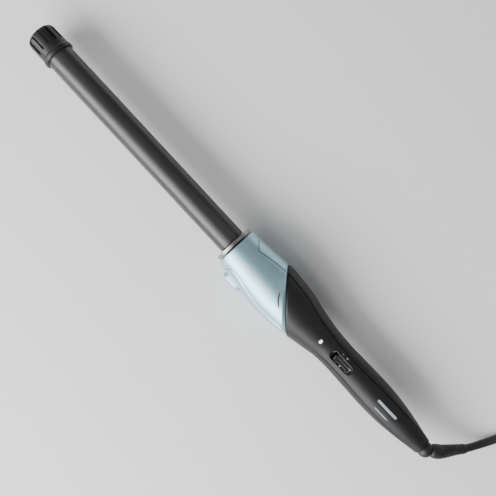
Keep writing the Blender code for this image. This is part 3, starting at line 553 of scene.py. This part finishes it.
def cordPoints():
    x, y = cord["coilCentre"]
    step = 360.0 / cord["lapPoints"]
    winding = [Vector(coilPoint(k * step)) * mm for k in range(cord["lapPoints"] * cord["laps"] + 1)]
    lead = smoothRoute(cordStart + cordRoute + (tuple(winding[0] / mm),), cord["spacing"])
    reach = cord["tailRadius"]
    middle = y - cord["outerRing"] + reach
    tail = [
        (x - reach * math.sin(math.radians(turn)), middle - reach * math.cos(math.radians(turn)), height)
        for turn, height in cord["tailHeights"]
    ]
    run, height = cord["tailEnd"]
    tail.append((x - reach, middle + run, height))
    return lead[:-1] + winding + smoothRoute([tuple(winding[-1] / mm)] + tail, cord["spacing"])[1:]


route = cordPoints()
powerCord = curveTube("powerCord", route, cord["radius"], sides=5)
measured = sum((b - a).length for a, b in zip(route, route[1:]))
print("cord centreline", round(measured, 3), "m in", len(route), "points")

relief = {
    "route": ((-187.2, -2.0, 18.3), (-188.75, -3.0, 17.8), (-192.5, -5.6, 16.0), (-196.2, -9.2, 13.8),
              (-199.4, -12.8, 11.8), (-202.4, -15.8, 10.0), (-205.0, -18.6, 8.4)),
    "spacing": 0.33,
    "base": 4.6,
    "stations": (0, 1.6, 4.8, 7.9, 13.9, 19.9, 25.5, 26.5),
    "radii": (3.9, 4.7, 5.0, 4.75, 4.2, 3.7, 3.35, 3.05),
    "ribsFrom": 7.5,
    "ribsTo": 23.1,
    "ribPitch": 2.6,
    "ribDepth": 0.42,
}


def makeRelief():
    # Tapered boot with a smooth collar and soft rings that get smaller towards the cord
    points = smoothRoute(relief["route"], relief["spacing"])
    travelled, widths = 0.0, []
    for i, point in enumerate(points):
        travelled += (point - points[i - 1]).length / mm if i else 0.0
        radius = float(np.interp(travelled, relief["stations"], relief["radii"]))
        if relief["ribsFrom"] < travelled < relief["ribsTo"]:
            wave = 0.5 - 0.5 * math.cos(2 * math.pi * (travelled - relief["ribsFrom"]) / relief["ribPitch"])
            radius -= relief["ribDepth"] * wave**3
        widths.append(radius / relief["base"])
    return curveTube("strainRelief", points, relief["base"], sides=8, widths=widths, solid=True)


strainRelief = finish(makeRelief(), "handle", "rubber_black", cordBlack, "strain_relief")

plug = {
    "x": -320.0,
    "z": 19.2,
    "back": -26.7,
    "front": 1.0,
    "half": 12.4,
    "deep": 8.0,
    "root": (13.0, 1.6, 10.0),
    "growth": ((2.4, 1.14), (4.0, 1.22), (5.0, 1.17), (5.2, 1.10), (5.0, 1.05), (4.5, 1.0)),  # (step, widening)
    "grips": 4,
    "gripStart": -18.5,
    "gripPitch": 2.9,
    "gripRadius": 0.75,
    "bladeApart": 6.35,  # of each blade from the middle
}


def makePlug():
    # A cube drawn out from the cord end to the blades, with finger grips pressed into its sides
    x, z = plug["x"], plug["z"]
    deselectAll()
    bpy.ops.mesh.primitive_cube_add(size=1, location=(x * mm, (plug["back"] + plug["root"][1] / 2) * mm, z * mm))
    body = nameNew("plugBody")
    body.scale = [size * mm for size in plug["root"]]
    applyPlace(body)
    selectWhere(body, "FACE", lambda face: face.normal.y > 0.9)
    for step, wide in plug["growth"]:
        drawOut((0, step, 0), (wide, 1, 1 + (wide - 1) * 0.85))
    bpy.ops.object.mode_set(mode="OBJECT")
    roundEdges(body, 1.3, 2, 50)
    modify(body, "SUBSURF", levels=2, render_levels=2)
    co = np.empty(len(body.data.vertices) * 3)
    body.data.vertices.foreach_get("co", co)
    co = co.reshape(-1, 3) / mm
    low, high = co.min(0), co.max(0)
    wantLow = np.array([x - plug["half"], plug["back"], z - plug["deep"]])
    wantHigh = np.array([x + plug["half"], plug["front"], z + plug["deep"]])
    co = (co - low) / (high - low) * (wantHigh - wantLow) + wantLow
    co[:, 2] = np.maximum(co[:, 2], z - plug["deep"] + 0.05)
    body.data.vertices.foreach_set("co", (co * mm).ravel())
    body.data.update()
    grips = []
    for side in (-1, 1):
        for k in range(plug["grips"]):
            y = plug["gripStart"] + plug["gripPitch"] * k
            reach = plug["half"] * float(np.interp(y, (-24, -14, -4), (0.70, 0.93, 1.0)))
            rod = ((-7, plug["gripRadius"]), (7, plug["gripRadius"]))
            grips.append(turned(f"grip_{side}_{k}", rod, 12, "Z", (x + side * (reach + 0.1), y, z)))
    cutAway(body, *grips)
    smoothOver(body, 35)
    return body


def makeBlade(number, side):
    x = plug["x"] + side * plug["bladeApart"]
    blade = box(f"plugBlade{number}", (x - 0.75, plug["front"] + 0.3, 16.0), (x + 0.75, 17.0, 22.4))
    selectWhere(blade, "FACE", lambda face: face.normal.y > 0.9)
    bpy.ops.transform.resize(value=(0.55, 1, 0.72))
    bpy.ops.object.mode_set(mode="OBJECT")
    roundEdges(blade, 0.25, 2)
    cutAway(blade, turned("bladeHole", ((-3, 1.6), (3, 1.6)), 24, "X", (x, 12.6, plug["z"])))
    smoothOver(blade, 35)
    return blade


plugBoot = {"start": -41.3, "length": 14.4, "low": 17.4, "rise": 1.75, "steps": 40, "base": 3.2, "ribSteps": 7,
            "ribDepth": 0.4}


def makePlugRelief():
    # Tapered boot behind the plug, ringed like the one at the handle
    steps, start, low = plugBoot["steps"], plugBoot["start"], plugBoot["low"]
    points, widths = [], []
    for k in range(steps + 1):
        y, z = start + plugBoot["length"] * k / steps, low + plugBoot["rise"] * k / steps
        points.append(Vector((plug["x"], y, z)) * mm)
        radius = float(np.interp(k, (0, 2, 36, 40), (2.95, 3.25, 4.6, 5.0)))
        wave = 0.5 - 0.5 * math.cos(2 * math.pi * k / plugBoot["ribSteps"])
        widths.append((radius - (plugBoot["ribDepth"] * wave**3 if 3 < k < 36 else 0)) / plugBoot["base"])
    return curveTube("plugRelief", points, plugBoot["base"], sides=6, widths=widths, solid=True)


plugBody = finish(makePlug(), "handle", "rubber_black", plugBlack, "plug_body")
plugRelief = finish(makePlugRelief(), "handle", "rubber_black", plugBlack, "plug_relief")
blades = [finish(makeBlade(n, side), "handle", "brass", brass, f"plug_blade_{n}") for n, side in ((1, 1), (2, -1))]

tie = {"turn": 60.0, "wide": 8.0, "thick": 0.9, "low": 19.3, "high": 42.7, "top": 11.65, "corner": 2.6,
       "lapFrom": 26.0, "lapTo": 38.0}


def makeTie():
    # Strap bent round the bundle, its free end lapped over on top
    low, high = (tie["low"], -tie["wide"] / 2, 0.1), (tie["high"], tie["wide"] / 2, tie["top"])
    strap = box("cordTie", low, high)
    selectWhere(strap, "FACE", lambda face: abs(face.normal.y) > 0.9)
    bpy.ops.mesh.delete(type="ONLY_FACE")
    bpy.ops.object.mode_set(mode="OBJECT")
    bevelWhere(strap, lambda edge: abs((edge.verts[0].co - edge.verts[1].co).y) > 5 * mm, tie["corner"], 8)
    faceOutwards(strap)
    modify(strap, "SOLIDIFY", thickness=tie["thick"] * mm, offset=-1)
    low = (tie["lapFrom"], -tie["wide"] / 2 + 0.2, tie["top"] - 0.2)
    high = (tie["lapTo"], tie["wide"] / 2 - 0.2, tie["top"] + tie["thick"])
    cutAway(strap, box("tieLap", low, high, 0.3, 2), operation="UNION")
    roundEdges(strap, 0.18, 2, 50)
    x, y = cord["coilCentre"]
    strap.matrix_world = Matrix.Translation((x * mm, y * mm, 0)) @ Matrix.Rotation(math.radians(tie["turn"]), 4, "Z")
    applyPlace(strap)
    smoothOver(strap, 35)
    return strap


cordTie = finish(makeTie(), "handle", "rubber_black", tieBlack, "cord_tie")
finish(powerCord, "handle", "rubber_black", cordBlack, "power_cord", "cord_coil", "cord_tail")
print("cord and plug ready")

# Skin of head and handle: (x, half width, shift towards the button side)
body = (
    (0.0, 15.4, 0.5), (-8.0, 15.9, 0.6), (-16.0, 16.7, 0.7), (-24.0, 17.5, 0.8), (-31.5, 18.25, 0.8),
    (-37.0, 18.6, 0.8), (-46.0, 18.1, 0.9), (-56.0, 17.3, 0.8), (-63.0, 16.2, 0.8), (-69.0, 14.9, 0.7),
    (-76.0, 13.65, 0.5), (-82.0, 12.6, 0.3), (-89.0, 11.6, 0.0), (-102.0, 11.05, 0.0), (-115.0, 11.35, 0.0),
    (-134.0, 11.7, 0.0), (-147.0, 11.15, 0.0), (-157.0, 10.1, 0.0), (-167.0, 8.6, 0.0), (-174.0, 7.3, 0.0),
    (-181.5, 6.1, 0.0),
)
# Seam between front and rear shells, in degrees from the top: on the handle, then on the head's two sides
handleSeam = (
    (-69.0, 47.0), (-76.0, 44.5), (-84.0, 41.5), (-95.0, 37.5), (-115.0, 36.5), (-130.0, 39.0), (-150.0, 43.0),
    (-167.0, 52.0), (-184.0, 66.0),
)
buttonSideSeam = (
    (2.0, 116.0), (-2.0, 108.0), (-4.0, 96.0), (-5.4, 80.0), (-6.6, 62.0), (-8.0, 48.0), (-10.0, 39.0),
    (-12.0, 35.0), (-14.0, 33.6), (-17.2, 35.6), (-20.5, 38.4), (-24.0, 40.8), (-31.0, 43.5), (-42.0, 48.5),
    (-51.0, 49.5), (-61.0, 48.0),
) + handleSeam
plainSideSeam = (
    (2.0, 124.0), (-1.5, 120.0), (-3.6, 106.0), (-5.2, 90.0), (-7.5, 75.0), (-10.0, 58.0), (-12.0, 46.5),
    (-13.6, 43.5), (-17.0, 46.0), (-24.0, 51.0), (-37.0, 54.5), (-48.0, 55.0), (-60.0, 51.0),
) + handleSeam
shells = {
    "wall": 1.8,
    "seamGap": 0.46,
    "cutSum": -50.5,  # x + y on the slanted plane between head and handle
    "headFront": -1.0,
    "handleEnd": -181.5,
    "underside": 2.8,
    "heightShare": 0.98,
    "edgeRound": 0.32,
    "headBand": (2.7, 1.15),  # chamfer on the head's slanted end: how wide, how deep
    "handleBand": (1.3, 0.36),
    "flatTo": -90,  # the underside is flat from the front to here
    "skinRadius": 14,  # typical, only used to tell how far a point is from the seam
    "frontSpan": 60.0,  # typical degrees from the middle of a front shell to its seam
}


def seamTurn(x, buttonSide):
    return np.radians(smoothTable(buttonSideSeam if buttonSide else plainSideSeam, x, 1))


def seamClearance(x, buttonSide, step=0.4):
    # The seam's gap as an angle, wider where the seam runs aslant
    half = smoothTable(body, x, 1)
    slope = half * (seamTurn(x + step, buttonSide) - seamTurn(x - step, buttonSide)) / (2 * step)
    return shells["seamGap"] * np.hypot(1.0, slope) / half


def skinPoint(along, slant, share, front, inset=0.0):
    # Points of the skin on planes x + slant * y = along; share runs from seam to seam
    x = along.copy()
    for _ in range(10):
        turn = share * np.where(share > 0, seamTurn(x, True), seamTurn(x, False))
        if not front:
            buttonReach = seamTurn(x, True) + seamClearance(x, True)
            plainReach = seamTurn(x, False) + seamClearance(x, False)
            reach = np.where(share < 0, buttonReach, plainReach)
            turn = math.pi + share * (math.pi - reach)
        half = smoothTable(body, x, 1)
        y = smoothTable(body, x, 2) + (half - inset) * np.sin(turn)
        x = along - slant * y
    z = axisHeight + (half * shells["heightShare"] - inset) * np.cos(turn)
    z = np.where(x > shells["flatTo"], np.maximum(z, shells["underside"] + inset), z)
    return np.stack((x, y, z), axis=-1) * mm


def makeShell(name, stations, slants, insets, front, steps):
    # A grid wrapped round the skin, one row of vertices at each station, then given its wall
    deselectAll()
    rows = len(stations)
    bpy.ops.mesh.primitive_grid_add(x_subdivisions=steps, y_subdivisions=rows - 1, size=2)
    piece = nameNew(name)
    places = np.empty(len(piece.data.vertices) * 3)
    piece.data.vertices.foreach_get("co", places)
    places = places.reshape(-1, 3)
    row = np.clip(np.rint((places[:, 1] + 1) / 2 * (rows - 1)).astype(int), 0, rows - 1)
    share = np.sin(places[:, 0] * math.pi / 2) * 0.35 + places[:, 0] * 0.65
    span = shells["frontSpan"] if front else 2 * shells["frontSpan"]
    fromSeam = (1 - np.abs(share)) * span * math.radians(shells["skinRadius"])
    inset = np.array(insets)[row] + shells["edgeRound"] * np.clip(1 - fromSeam / 0.5, 0, 1) ** 2
    places = skinPoint(np.array(stations)[row], np.array(slants)[row], share, front, inset)
    piece.data.vertices.foreach_set("co", places.ravel())
    piece.data.update()
    faceOutwards(piece, 0.0005)
    axis = Vector((0, 0, axisHeight * mm))
    outward = sum(face.normal.dot((face.center - axis) * Vector((0, 1, 1))) for face in piece.data.polygons)
    if outward < 0:
        makeActive(piece)
        bpy.ops.object.mode_set(mode="EDIT")
        bpy.ops.mesh.select_all(action="SELECT")
        bpy.ops.mesh.flip_normals()
        bpy.ops.object.mode_set(mode="OBJECT")
    modify(piece, "SOLIDIFY", thickness=(shells["wall"] - 0.1) * mm, offset=-1)
    return piece


def spaced(*marks):
    # Values between pairs of marks: (start, end, count)
    found = []
    for start, end, count in marks:
        found += list(np.linspace(start, end, count, endpoint=False))
    return found + [marks[-1][1]]


def bandInset(distance, wide, deep):
    return deep * np.clip(1 - distance / wide, 0, 1)


def endRound(distance, size):
    t = np.clip(1 - distance / size, 0, 1)
    return size * (1 - np.sqrt(np.clip(1 - t * t, 0, 1))) * 0.8


def makeHead(front):
    start, end = shells["headFront"], shells["cutSum"] + 0.2
    wide, deep = shells["headBand"]
    along = np.array(
        spaced((start, start - 0.9, 6), (start - 0.9, -16.0, 40), (-16.0, end + wide + 0.05, 34),
               (end + wide + 0.05, end + wide - 0.05, 1), (end + wide - 0.05, end + 0.25, 4), (end + 0.25, end, 2))
    )
    slant = np.clip((along + 18.0) / (shells["cutSum"] + 18.2), 0, 1)
    inset = endRound(start - along, 0.45) + bandInset(along - end, wide, deep) + bandInset(along - end, 0.25, 0.15)
    name = "headFrontCover" if front else "headRearCover"
    return makeShell(name, along, slant, inset, front, 56 if front else 79)


def makeHandle(front):
    start, end = shells["cutSum"] - 0.2, shells["handleEnd"]
    wide, deep = shells["handleBand"]
    along = np.array(
        spaced((start, start - wide, 3), (start - wide, start - wide - 0.1, 1), (start - wide - 0.1, -96.0, 40),
               (-96.0, end + 1.0, 60), (end + 1.0, end, 5))
    )
    slant = np.clip((along + 96.0) / (shells["cutSum"] + 95.8), 0, 1)
    inset = bandInset(start - along, wide, deep) + endRound(along - end, 0.8)
    name = "handleFrontShell" if front else "handleRearShell"
    return makeShell(name, along, slant, inset, front, 48 if front else 71)


button = {
    "x": -16.2,
    "length": 16.6,
    "height": 12.0,
    "face": 20.1,
    "back": 12.1,
    "pillow": ((0.55, 0.16), (0.45, 0.32), (0.35, 0.55), (0.25, 0.8), (0.17, 1.1), (0.1, 1.3)),  # (step, inset)
    "pillowHeight": 1.9,
    "ribs": 11,
    "ribRadius": 0.30,
}
bezel = {"x": -101.9, "length": 19.8, "width": 7.4, "top": 10.75, "floor": 8.2, "wall": 0.75}
slider = {"x": -103.4, "length": 14.6, "width": 5.4, "top": 10.6, "bottom": 8.6, "rim": 0.35, "dishRadius": 30.0,
          "ribStep": 1.9, "ribLength": (10.6, 7.4), "ribWidth": 0.95}
lamp = {"x": -83.0, "length": 2.0, "width": 2.8, "crown": ((0.12, 0.9), (0.05, 0.75))}


def makeButton():
    # A stadium drawn out towards the face, pillowed, then grooved along the tool
    x, high = button["x"], button["height"] / 2
    piece = stadiumBlock("releaseButton", (x, axisHeight), (button["length"], button["height"]),
                         button["back"], button["face"] - button["pillowHeight"], up="Y", segments=20)
    selectWhere(piece, "FACE", lambda face: face.normal.y > 0.9)
    for step, inset in button["pillow"]:
        length = 1 - 2 * inset / (button["length"] * 0.8)
        drawOut((0, step, 0), (length, 1, 1 - 2 * inset / (button["height"] * 0.8)))
    bpy.ops.object.mode_set(mode="OBJECT")
    grooves = []
    middleRib = (button["ribs"] - 1) / 2
    rod = ((-9.5, button["ribRadius"]), (9.5, button["ribRadius"]))
    for k in range(button["ribs"]):
        share = (k - middleRib) / middleRib
        z = axisHeight + high * 0.80 * share
        y = button["face"] + 0.26 - 1.55 * abs(share) ** 3.2  # follows the pillowed face
        grooves.append(turned(f"groove{k}", rod, 10, "X", (x, y, z)))
    cutAway(piece, *grooves)
    smoothOver(piece, 38)
    return piece


def makeBezel():
    x = bezel["x"]
    piece = stadiumBlock("switchBezel", (x, 0), (bezel["length"], bezel["width"]),
                         axisHeight + bezel["floor"] - 1, axisHeight + bezel["top"], segments=18)
    room = (bezel["length"] - 2 * bezel["wall"], bezel["width"] - 2 * bezel["wall"])
    hollow = stadiumBlock("bezelHollow", (x, 0), room, axisHeight + bezel["floor"], axisHeight + 14, segments=18)
    slot = box("bezelSlot", (x - 5.2, -1.1, axisHeight), (x + 4.2, 1.1, axisHeight + 15))
    cutAway(piece, hollow, slot)
    roundEdges(piece, 0.24, 3, 60)
    smoothOver(piece, 40)
    return piece


def makeSlider():
    # Dished cap with three grooves along it and a slit behind the lip at its front end
    x, top = slider["x"], axisHeight + slider["top"]
    piece = stadiumBlock("switchSlider", (x, 0), (slider["length"], slider["width"]),
                         axisHeight + slider["bottom"], top - slider["rim"], segments=14)
    selectWhere(piece, "FACE", lambda face: face.normal.z > 0.9)
    drawOut((0, 0, slider["rim"]), (0.955, 0.88, 1))
    bpy.ops.object.mode_set(mode="OBJECT")
    dishRound = slider["dishRadius"]
    dish = turned("dish", ((-4, dishRound), (4, dishRound)), 160, "Y", (x - 0.4, 0, top + 29.3))
    gaps = []
    for k in range(3):
        size = (slider["ribLength"][k != 1], slider["ribWidth"])
        place = (x - 0.6, slider["ribStep"] * (k - 1))
        gaps.append(stadiumBlock(f"ribGap{k}", place, size, top - 1.6, top + 4, segments=5))
    lip = box("lipGap", (x + 5.0, -2.3, top - 1.15), (x + 5.5, 2.3, top + 4))
    cutAway(piece, dish, lip, *gaps)
    roundEdges(piece, 0.22, 3, 40)
    stem = box("sliderStem", (x - 2, -0.8, axisHeight + 6.6), (x + 2, 0.8, axisHeight + slider["bottom"] + 0.4))
    cutAway(piece, stem, operation="UNION")
    smoothOver(piece, 30)
    return piece


def makeGlintPip(name, x, y, low):
    # Small raised dome on the switch cap, coloured pale as a painted glint
    rings = rounded(((low - 0.5, 0.5, 0), (low + 0.12, 0.5, 0.12), (low + 0.26, 0.0, 0)))
    pip = turned(name, rings, 32, "Z", (x, y, axisHeight))
    return finish(pip, "slider", "lamp_white", paleInk)


def openHoles(headRear, handleFront):
    gap = 0.7
    hole = stadiumBlock("buttonHole", (button["x"], axisHeight), (button["length"] + gap, button["height"] + gap),
                        6, 30, up="Y", segments=20)
    cutAway(headRear, hole)
    opening = stadiumBlock("bezelHole", (bezel["x"], 0), (bezel["length"] + 0.4, bezel["width"] + 0.4),
                           axisHeight + 5, axisHeight + 20, segments=18)
    well = stadiumBlock("lampHole", (lamp["x"], 0), (lamp["length"] + 0.3, lamp["width"] + 0.3),
                        axisHeight + 5, axisHeight + 20, segments=10)
    cutAway(handleFront, opening, well)


headFront, headRear = makeHead(True), makeHead(False)
handleFront, handleRear = makeHandle(True), makeHandle(False)
openHoles(headRear, handleFront)
for piece, slot, material, node in (
    (headFront, "ice_blue", iceBlue, "head_front_cover"),
    (headRear, "ice_blue", iceBlue, "head_rear_cover"),
    (handleFront, "black_shell", handleBlack, "handle_front_shell"),
    (handleRear, "black_shell", handleBlack, "handle_rear_shell"),
):
    smoothOver(piece, 28)
    finish(piece, "handle", slot, material, node)
print("shells ready")

finish(makeButton(), "release", "ice_blue", iceBlue, "release_button")
finish(makeBezel(), "handle", "gloss_black", glossBlack, "switch_bezel")
finish(makeSlider(), "slider", "gloss_black", capBlack, "switch_slider")
# Pale domes where the cap catches the light: painted highlights
makeGlintPip("sideGlintPip", -103.2, 2.1, slider["top"] - 0.3)
makeGlintPip("endGlintPip", -109.4, -1.0, slider["top"] - 0.2)


def makeLamp():
    top = axisHeight + float(smoothTable(body, lamp["x"], 1)) * shells["heightShare"]
    piece = stadiumBlock("lightPipe", (lamp["x"], 0), (lamp["length"], lamp["width"]),
                         axisHeight + 7, top - 0.1, segments=10)
    selectWhere(piece, "FACE", lambda face: face.normal.z > 0.9)
    for step, wide in lamp["crown"]:
        drawOut((0, 0, step), (0.5 + wide / 2, wide, 1))
    bpy.ops.object.mode_set(mode="OBJECT")
    smoothOver(piece, 40)
    return piece


finish(makeLamp(), "handle", "lamp_white", lampWhite, "light_pipe")
print("button, switch and lamp ready")

prints = {
    "arc": {"middle": (-44.8, 0.4), "length": 10.3, "width": 1.15, "turn": -46.3, "bow": 0.75},
    "bar": {"middle": (-144.5, -1.4), "length": 17.4, "width": 1.7, "turn": 0.0, "bow": 0.0},
    "thinBar": {"middle": (-144.0, 3.7), "length": 12.0, "width": 0.45, "turn": 0.0, "bow": 0.0},
    "onDot": {"middle": (-103.1, -4.75), "length": 1.25, "width": 0.9, "turn": 0.0, "bow": 0.0},
    "offDot": {"middle": (-99.1, -4.7), "length": 1.0, "width": 0.45, "turn": 0.0, "bow": 0.0},
}


def makePrint(name, values, material, slot):
    # A thin printed bar or arc that lies on the skin, with round ends
    deselectAll()
    bpy.ops.mesh.primitive_grid_add(x_subdivisions=36, y_subdivisions=6, size=2)
    piece = nameNew(name)
    turn = math.radians(values["turn"])
    half, wide = values["length"] / 2, values["width"] / 2
    for vertex in piece.data.vertices:
        u, v = vertex.co.x, vertex.co.y
        end = math.sqrt(max(1 - max(abs(u) * half - (half - wide), 0) ** 2 / wide**2, 0.0))
        taper = 1.0 if not values["bow"] else 0.55 + 0.45 * (1 - u * u)
        a, b = u * half, v * wide * end * taper + values["bow"] * (1 - u * u)
        x = values["middle"][0] + a * math.cos(turn) - b * math.sin(turn)
        y = values["middle"][1] + a * math.sin(turn) + b * math.cos(turn)
        wideHere = float(smoothTable(body, x, 1))
        across = (y - float(smoothTable(body, x, 2))) / wideHere
        z = axisHeight + wideHere * shells["heightShare"] * math.sqrt(1 - across**2) + 0.035
        vertex.co = (x * mm, y * mm, z * mm)
    faceOutwards(piece, 0.001)
    modify(piece, "SOLIDIFY", thickness=0.05 * mm, offset=0)
    faceOutwards(piece, 0.0001)
    return finish(piece, "handle", slot, material)


for name, values in prints.items():
    ink = darkInk if name == "arc" else paleInk
    makePrint(name + "Print", values, ink, "gloss_black" if name == "arc" else "lamp_white")

# Corners of the turned pieces: (x, radius, corner round)
barrel = {
    "outline": ((3.1, 8.35, 0), (3.1, 9.5, 0.3), (40, 9.5, 0), (80, 9.5, 0), (120, 9.5, 0), (172.7, 9.5, 0.2),
                (172.7, 8.35, 0)),
    "steps": 128,
}
collar = {
    "outline": ((0.2, 8.4, 0), (0.2, 14.0, 0.5), (2.6, 14.0, 0.5), (2.6, 12.6, 0.25), (2.1, 12.4, 0.2),
                (2.1, 10.2, 0.1), (2.5, 10.0, 0.1), (2.5, 8.4, 0)),
    "steps": 128,
}
# Black ring in the gap between head and collar, so the gap reads dark all round: painted shade
gapShadeRing = {"outline": ((-0.3, 12.2, 0), (-0.3, 13.5, 0.3), (-3.7, 13.5, 0.2), (-3.7, 12.2, 0)), "steps": 96}
tip = {
    "outline": ((170.3, 9.9, 0.1), (170.3, 10.6, 0.3), (170.85, 11.0, 0.3), (173.0, 11.0, 0.4), (173.7, 10.45, 0.5),
                (177.6, 10.3, 0.3), (187.7, 10.25, 0.8), (189.9, 9.4, 0.8), (190.7, 7.4, 0.5), (190.4, 6.2, 0.3),
                (190.4, 0.0, 0)),
    "ribs": 12,
    "gap": 2.1,
    "gapStart": 177.8,
    "gapFloor": 9.0,
}


def makeTip():
    # A turned cap with lengthwise gaps cut round its end, which leave the ribs
    piece = turned("coolTip", rounded(tip["outline"]), 144, angle=35)
    bore = turned("tipBore", ((160, 9.62), (173.0, 9.62)), 72)
    gaps = []

    def innerEnd(edge):
        near = all(v.co.x < 180 * mm and v.co.z < 10 * mm for v in edge.verts)
        return near and abs((edge.verts[0].co - edge.verts[1].co).y) > mm

    for k in range(tip["ribs"]):
        gap = box(f"ribGap{k}", (tip["gapStart"], -tip["gap"] / 2, tip["gapFloor"]), (195, tip["gap"] / 2, 14))
        bevelWhere(gap, innerEnd, 0.9, 5)
        turn = Matrix.Rotation(2 * math.pi * (k + 0.5) / tip["ribs"], 4, "X")
        gap.matrix_world = Matrix.Translation((0, 0, axisHeight * mm)) @ turn
        applyPlace(gap)
        gaps.append(gap)
    cutAway(piece, bore, *gaps)
    roundEdges(piece, 0.28, 3, 48)
    smoothOver(piece, 35)
    return piece


def turnedRing(name, values):
    # A hollow turned piece, its outline closed on itself
    rings = rounded(values["outline"])
    return turned(name, rings + [rings[0]], values["steps"], closed=True)


finish(turnedRing("barrelTube", barrel), "barrel", "barrel_coat", barrelCoat, "barrel_tube")
finish(turnedRing("gapShadeRing", gapShadeRing), "handle", "black_shell", handleBlack)
finish(turnedRing("barrelCollar", collar), "barrel", "collar_metal", collarMetal, "barrel_collar")
finish(makeTip(), "barrel", "tip_black", tipBlack, "cool_tip")
print("barrel and tip ready")

stand = {"x": -9.0, "z": 2.4, "end": -55.6, "half": 8.2, "thick": 2.4, "forkHalf": 4.6, "knuckle": 2.4, "bore": 1.15}


def makeStand():
    # A plate with a fork at its hinge, a press mark in its middle and a notch for the foot
    x, half, end = stand["x"], stand["half"], stand["end"]
    inner, radius = stand["forkHalf"], stand["knuckle"]
    plate = box("safetyStand", (end, -half, 0.0), (x - 1.0, half, stand["thick"]))

    def outerCorner(edge):
        return abs((edge.verts[0].co - edge.verts[1].co).z) > mm and edge.verts[0].co.x < -50 * mm

    bevelWhere(plate, outerCorner, 2.0, 6)
    cutAway(
        plate,
        box("hingeRoom", (x - 6, -inner, -1), (x + 1, inner, 5)),
        box("footTongue", (end - 1, -2.5, -1), (end + 2, 2.5, 5)),
        stadiumBlock("pressRoom", (-32, 0), (26, 8.4), 1.3, 5, segments=10),
    )
    for side in (-1, 1):
        low, high = sorted((side * inner, side * half))
        rings = rounded(((low, 0, 0), (low, radius, 0.3), (high, radius, 0.3), (high, 0, 0)))
        cutAway(plate, turned(f"knuckle{side}", rings, 40, "Y", (x, 0, stand["z"])), operation="UNION")
        rod = ((low - 1, stand["bore"]), (high + 1, stand["bore"]))
        cutAway(plate, turned(f"bore{side}", rod, 24, "Y", (x, 0, stand["z"])))
    roundEdges(plate, 0.22, 2, 50)
    smoothOver(plate, 35)
    return plate


def makeFoot():
    end, half = stand["end"], stand["half"]
    foot = box("standFoot", (end - 4.4, -half, 0.0), (end - 0.3, half, stand["thick"]), 0.6, 4)
    cutAway(foot, box("footSlot", (end - 2.3, -2.8, -1), (end + 1, 2.8, 5)))
    for k in range(3):
        cutAway(foot, turned(f"footGroove{k}", ((-9, 0.22), (9, 0.22)), 10, "Y", (end - 1.2 - 1.1 * k, 0, 2.5)))
    smoothOver(foot, 35)
    return foot


finish(makeStand(), "stand", "black_shell", handleBlack, "safety_stand")
finish(makeFoot(), "stand", "rubber_black", plugBlack, "stand_foot")


swivel = {
    "x": -184.0,
    "radius": 5.4,
    "arcSteps": 24,
    "neck": ((-173.6, 2.6), (-173.6, 4.4), (-171.6, 4.4), (-171.6, 2.0), (-165.4, 2.0), (-165.4, 1.2), (-170.0, 1.2),
             (-170.0, 0)),
}


def makeSwivel():
    # A ball drawn on into the neck that turns inside the handle
    x, radius, neck = swivel["x"], swivel["radius"], swivel["neck"]
    start = math.asin(neck[0][1] / radius)
    arc = [(x - radius, 0)]
    for k in range(1, swivel["arcSteps"] + 1):
        turn = math.pi - (math.pi - start) * k / swivel["arcSteps"]
        arc.append((x + radius * math.cos(turn), radius * math.sin(turn)))
    return turned("swivelBall", tuple(arc) + neck, 64)


finish(makeSwivel(), "swivel", "rubber_black", cordBlack, "swivel_ball")
print("stand and swivel ready")
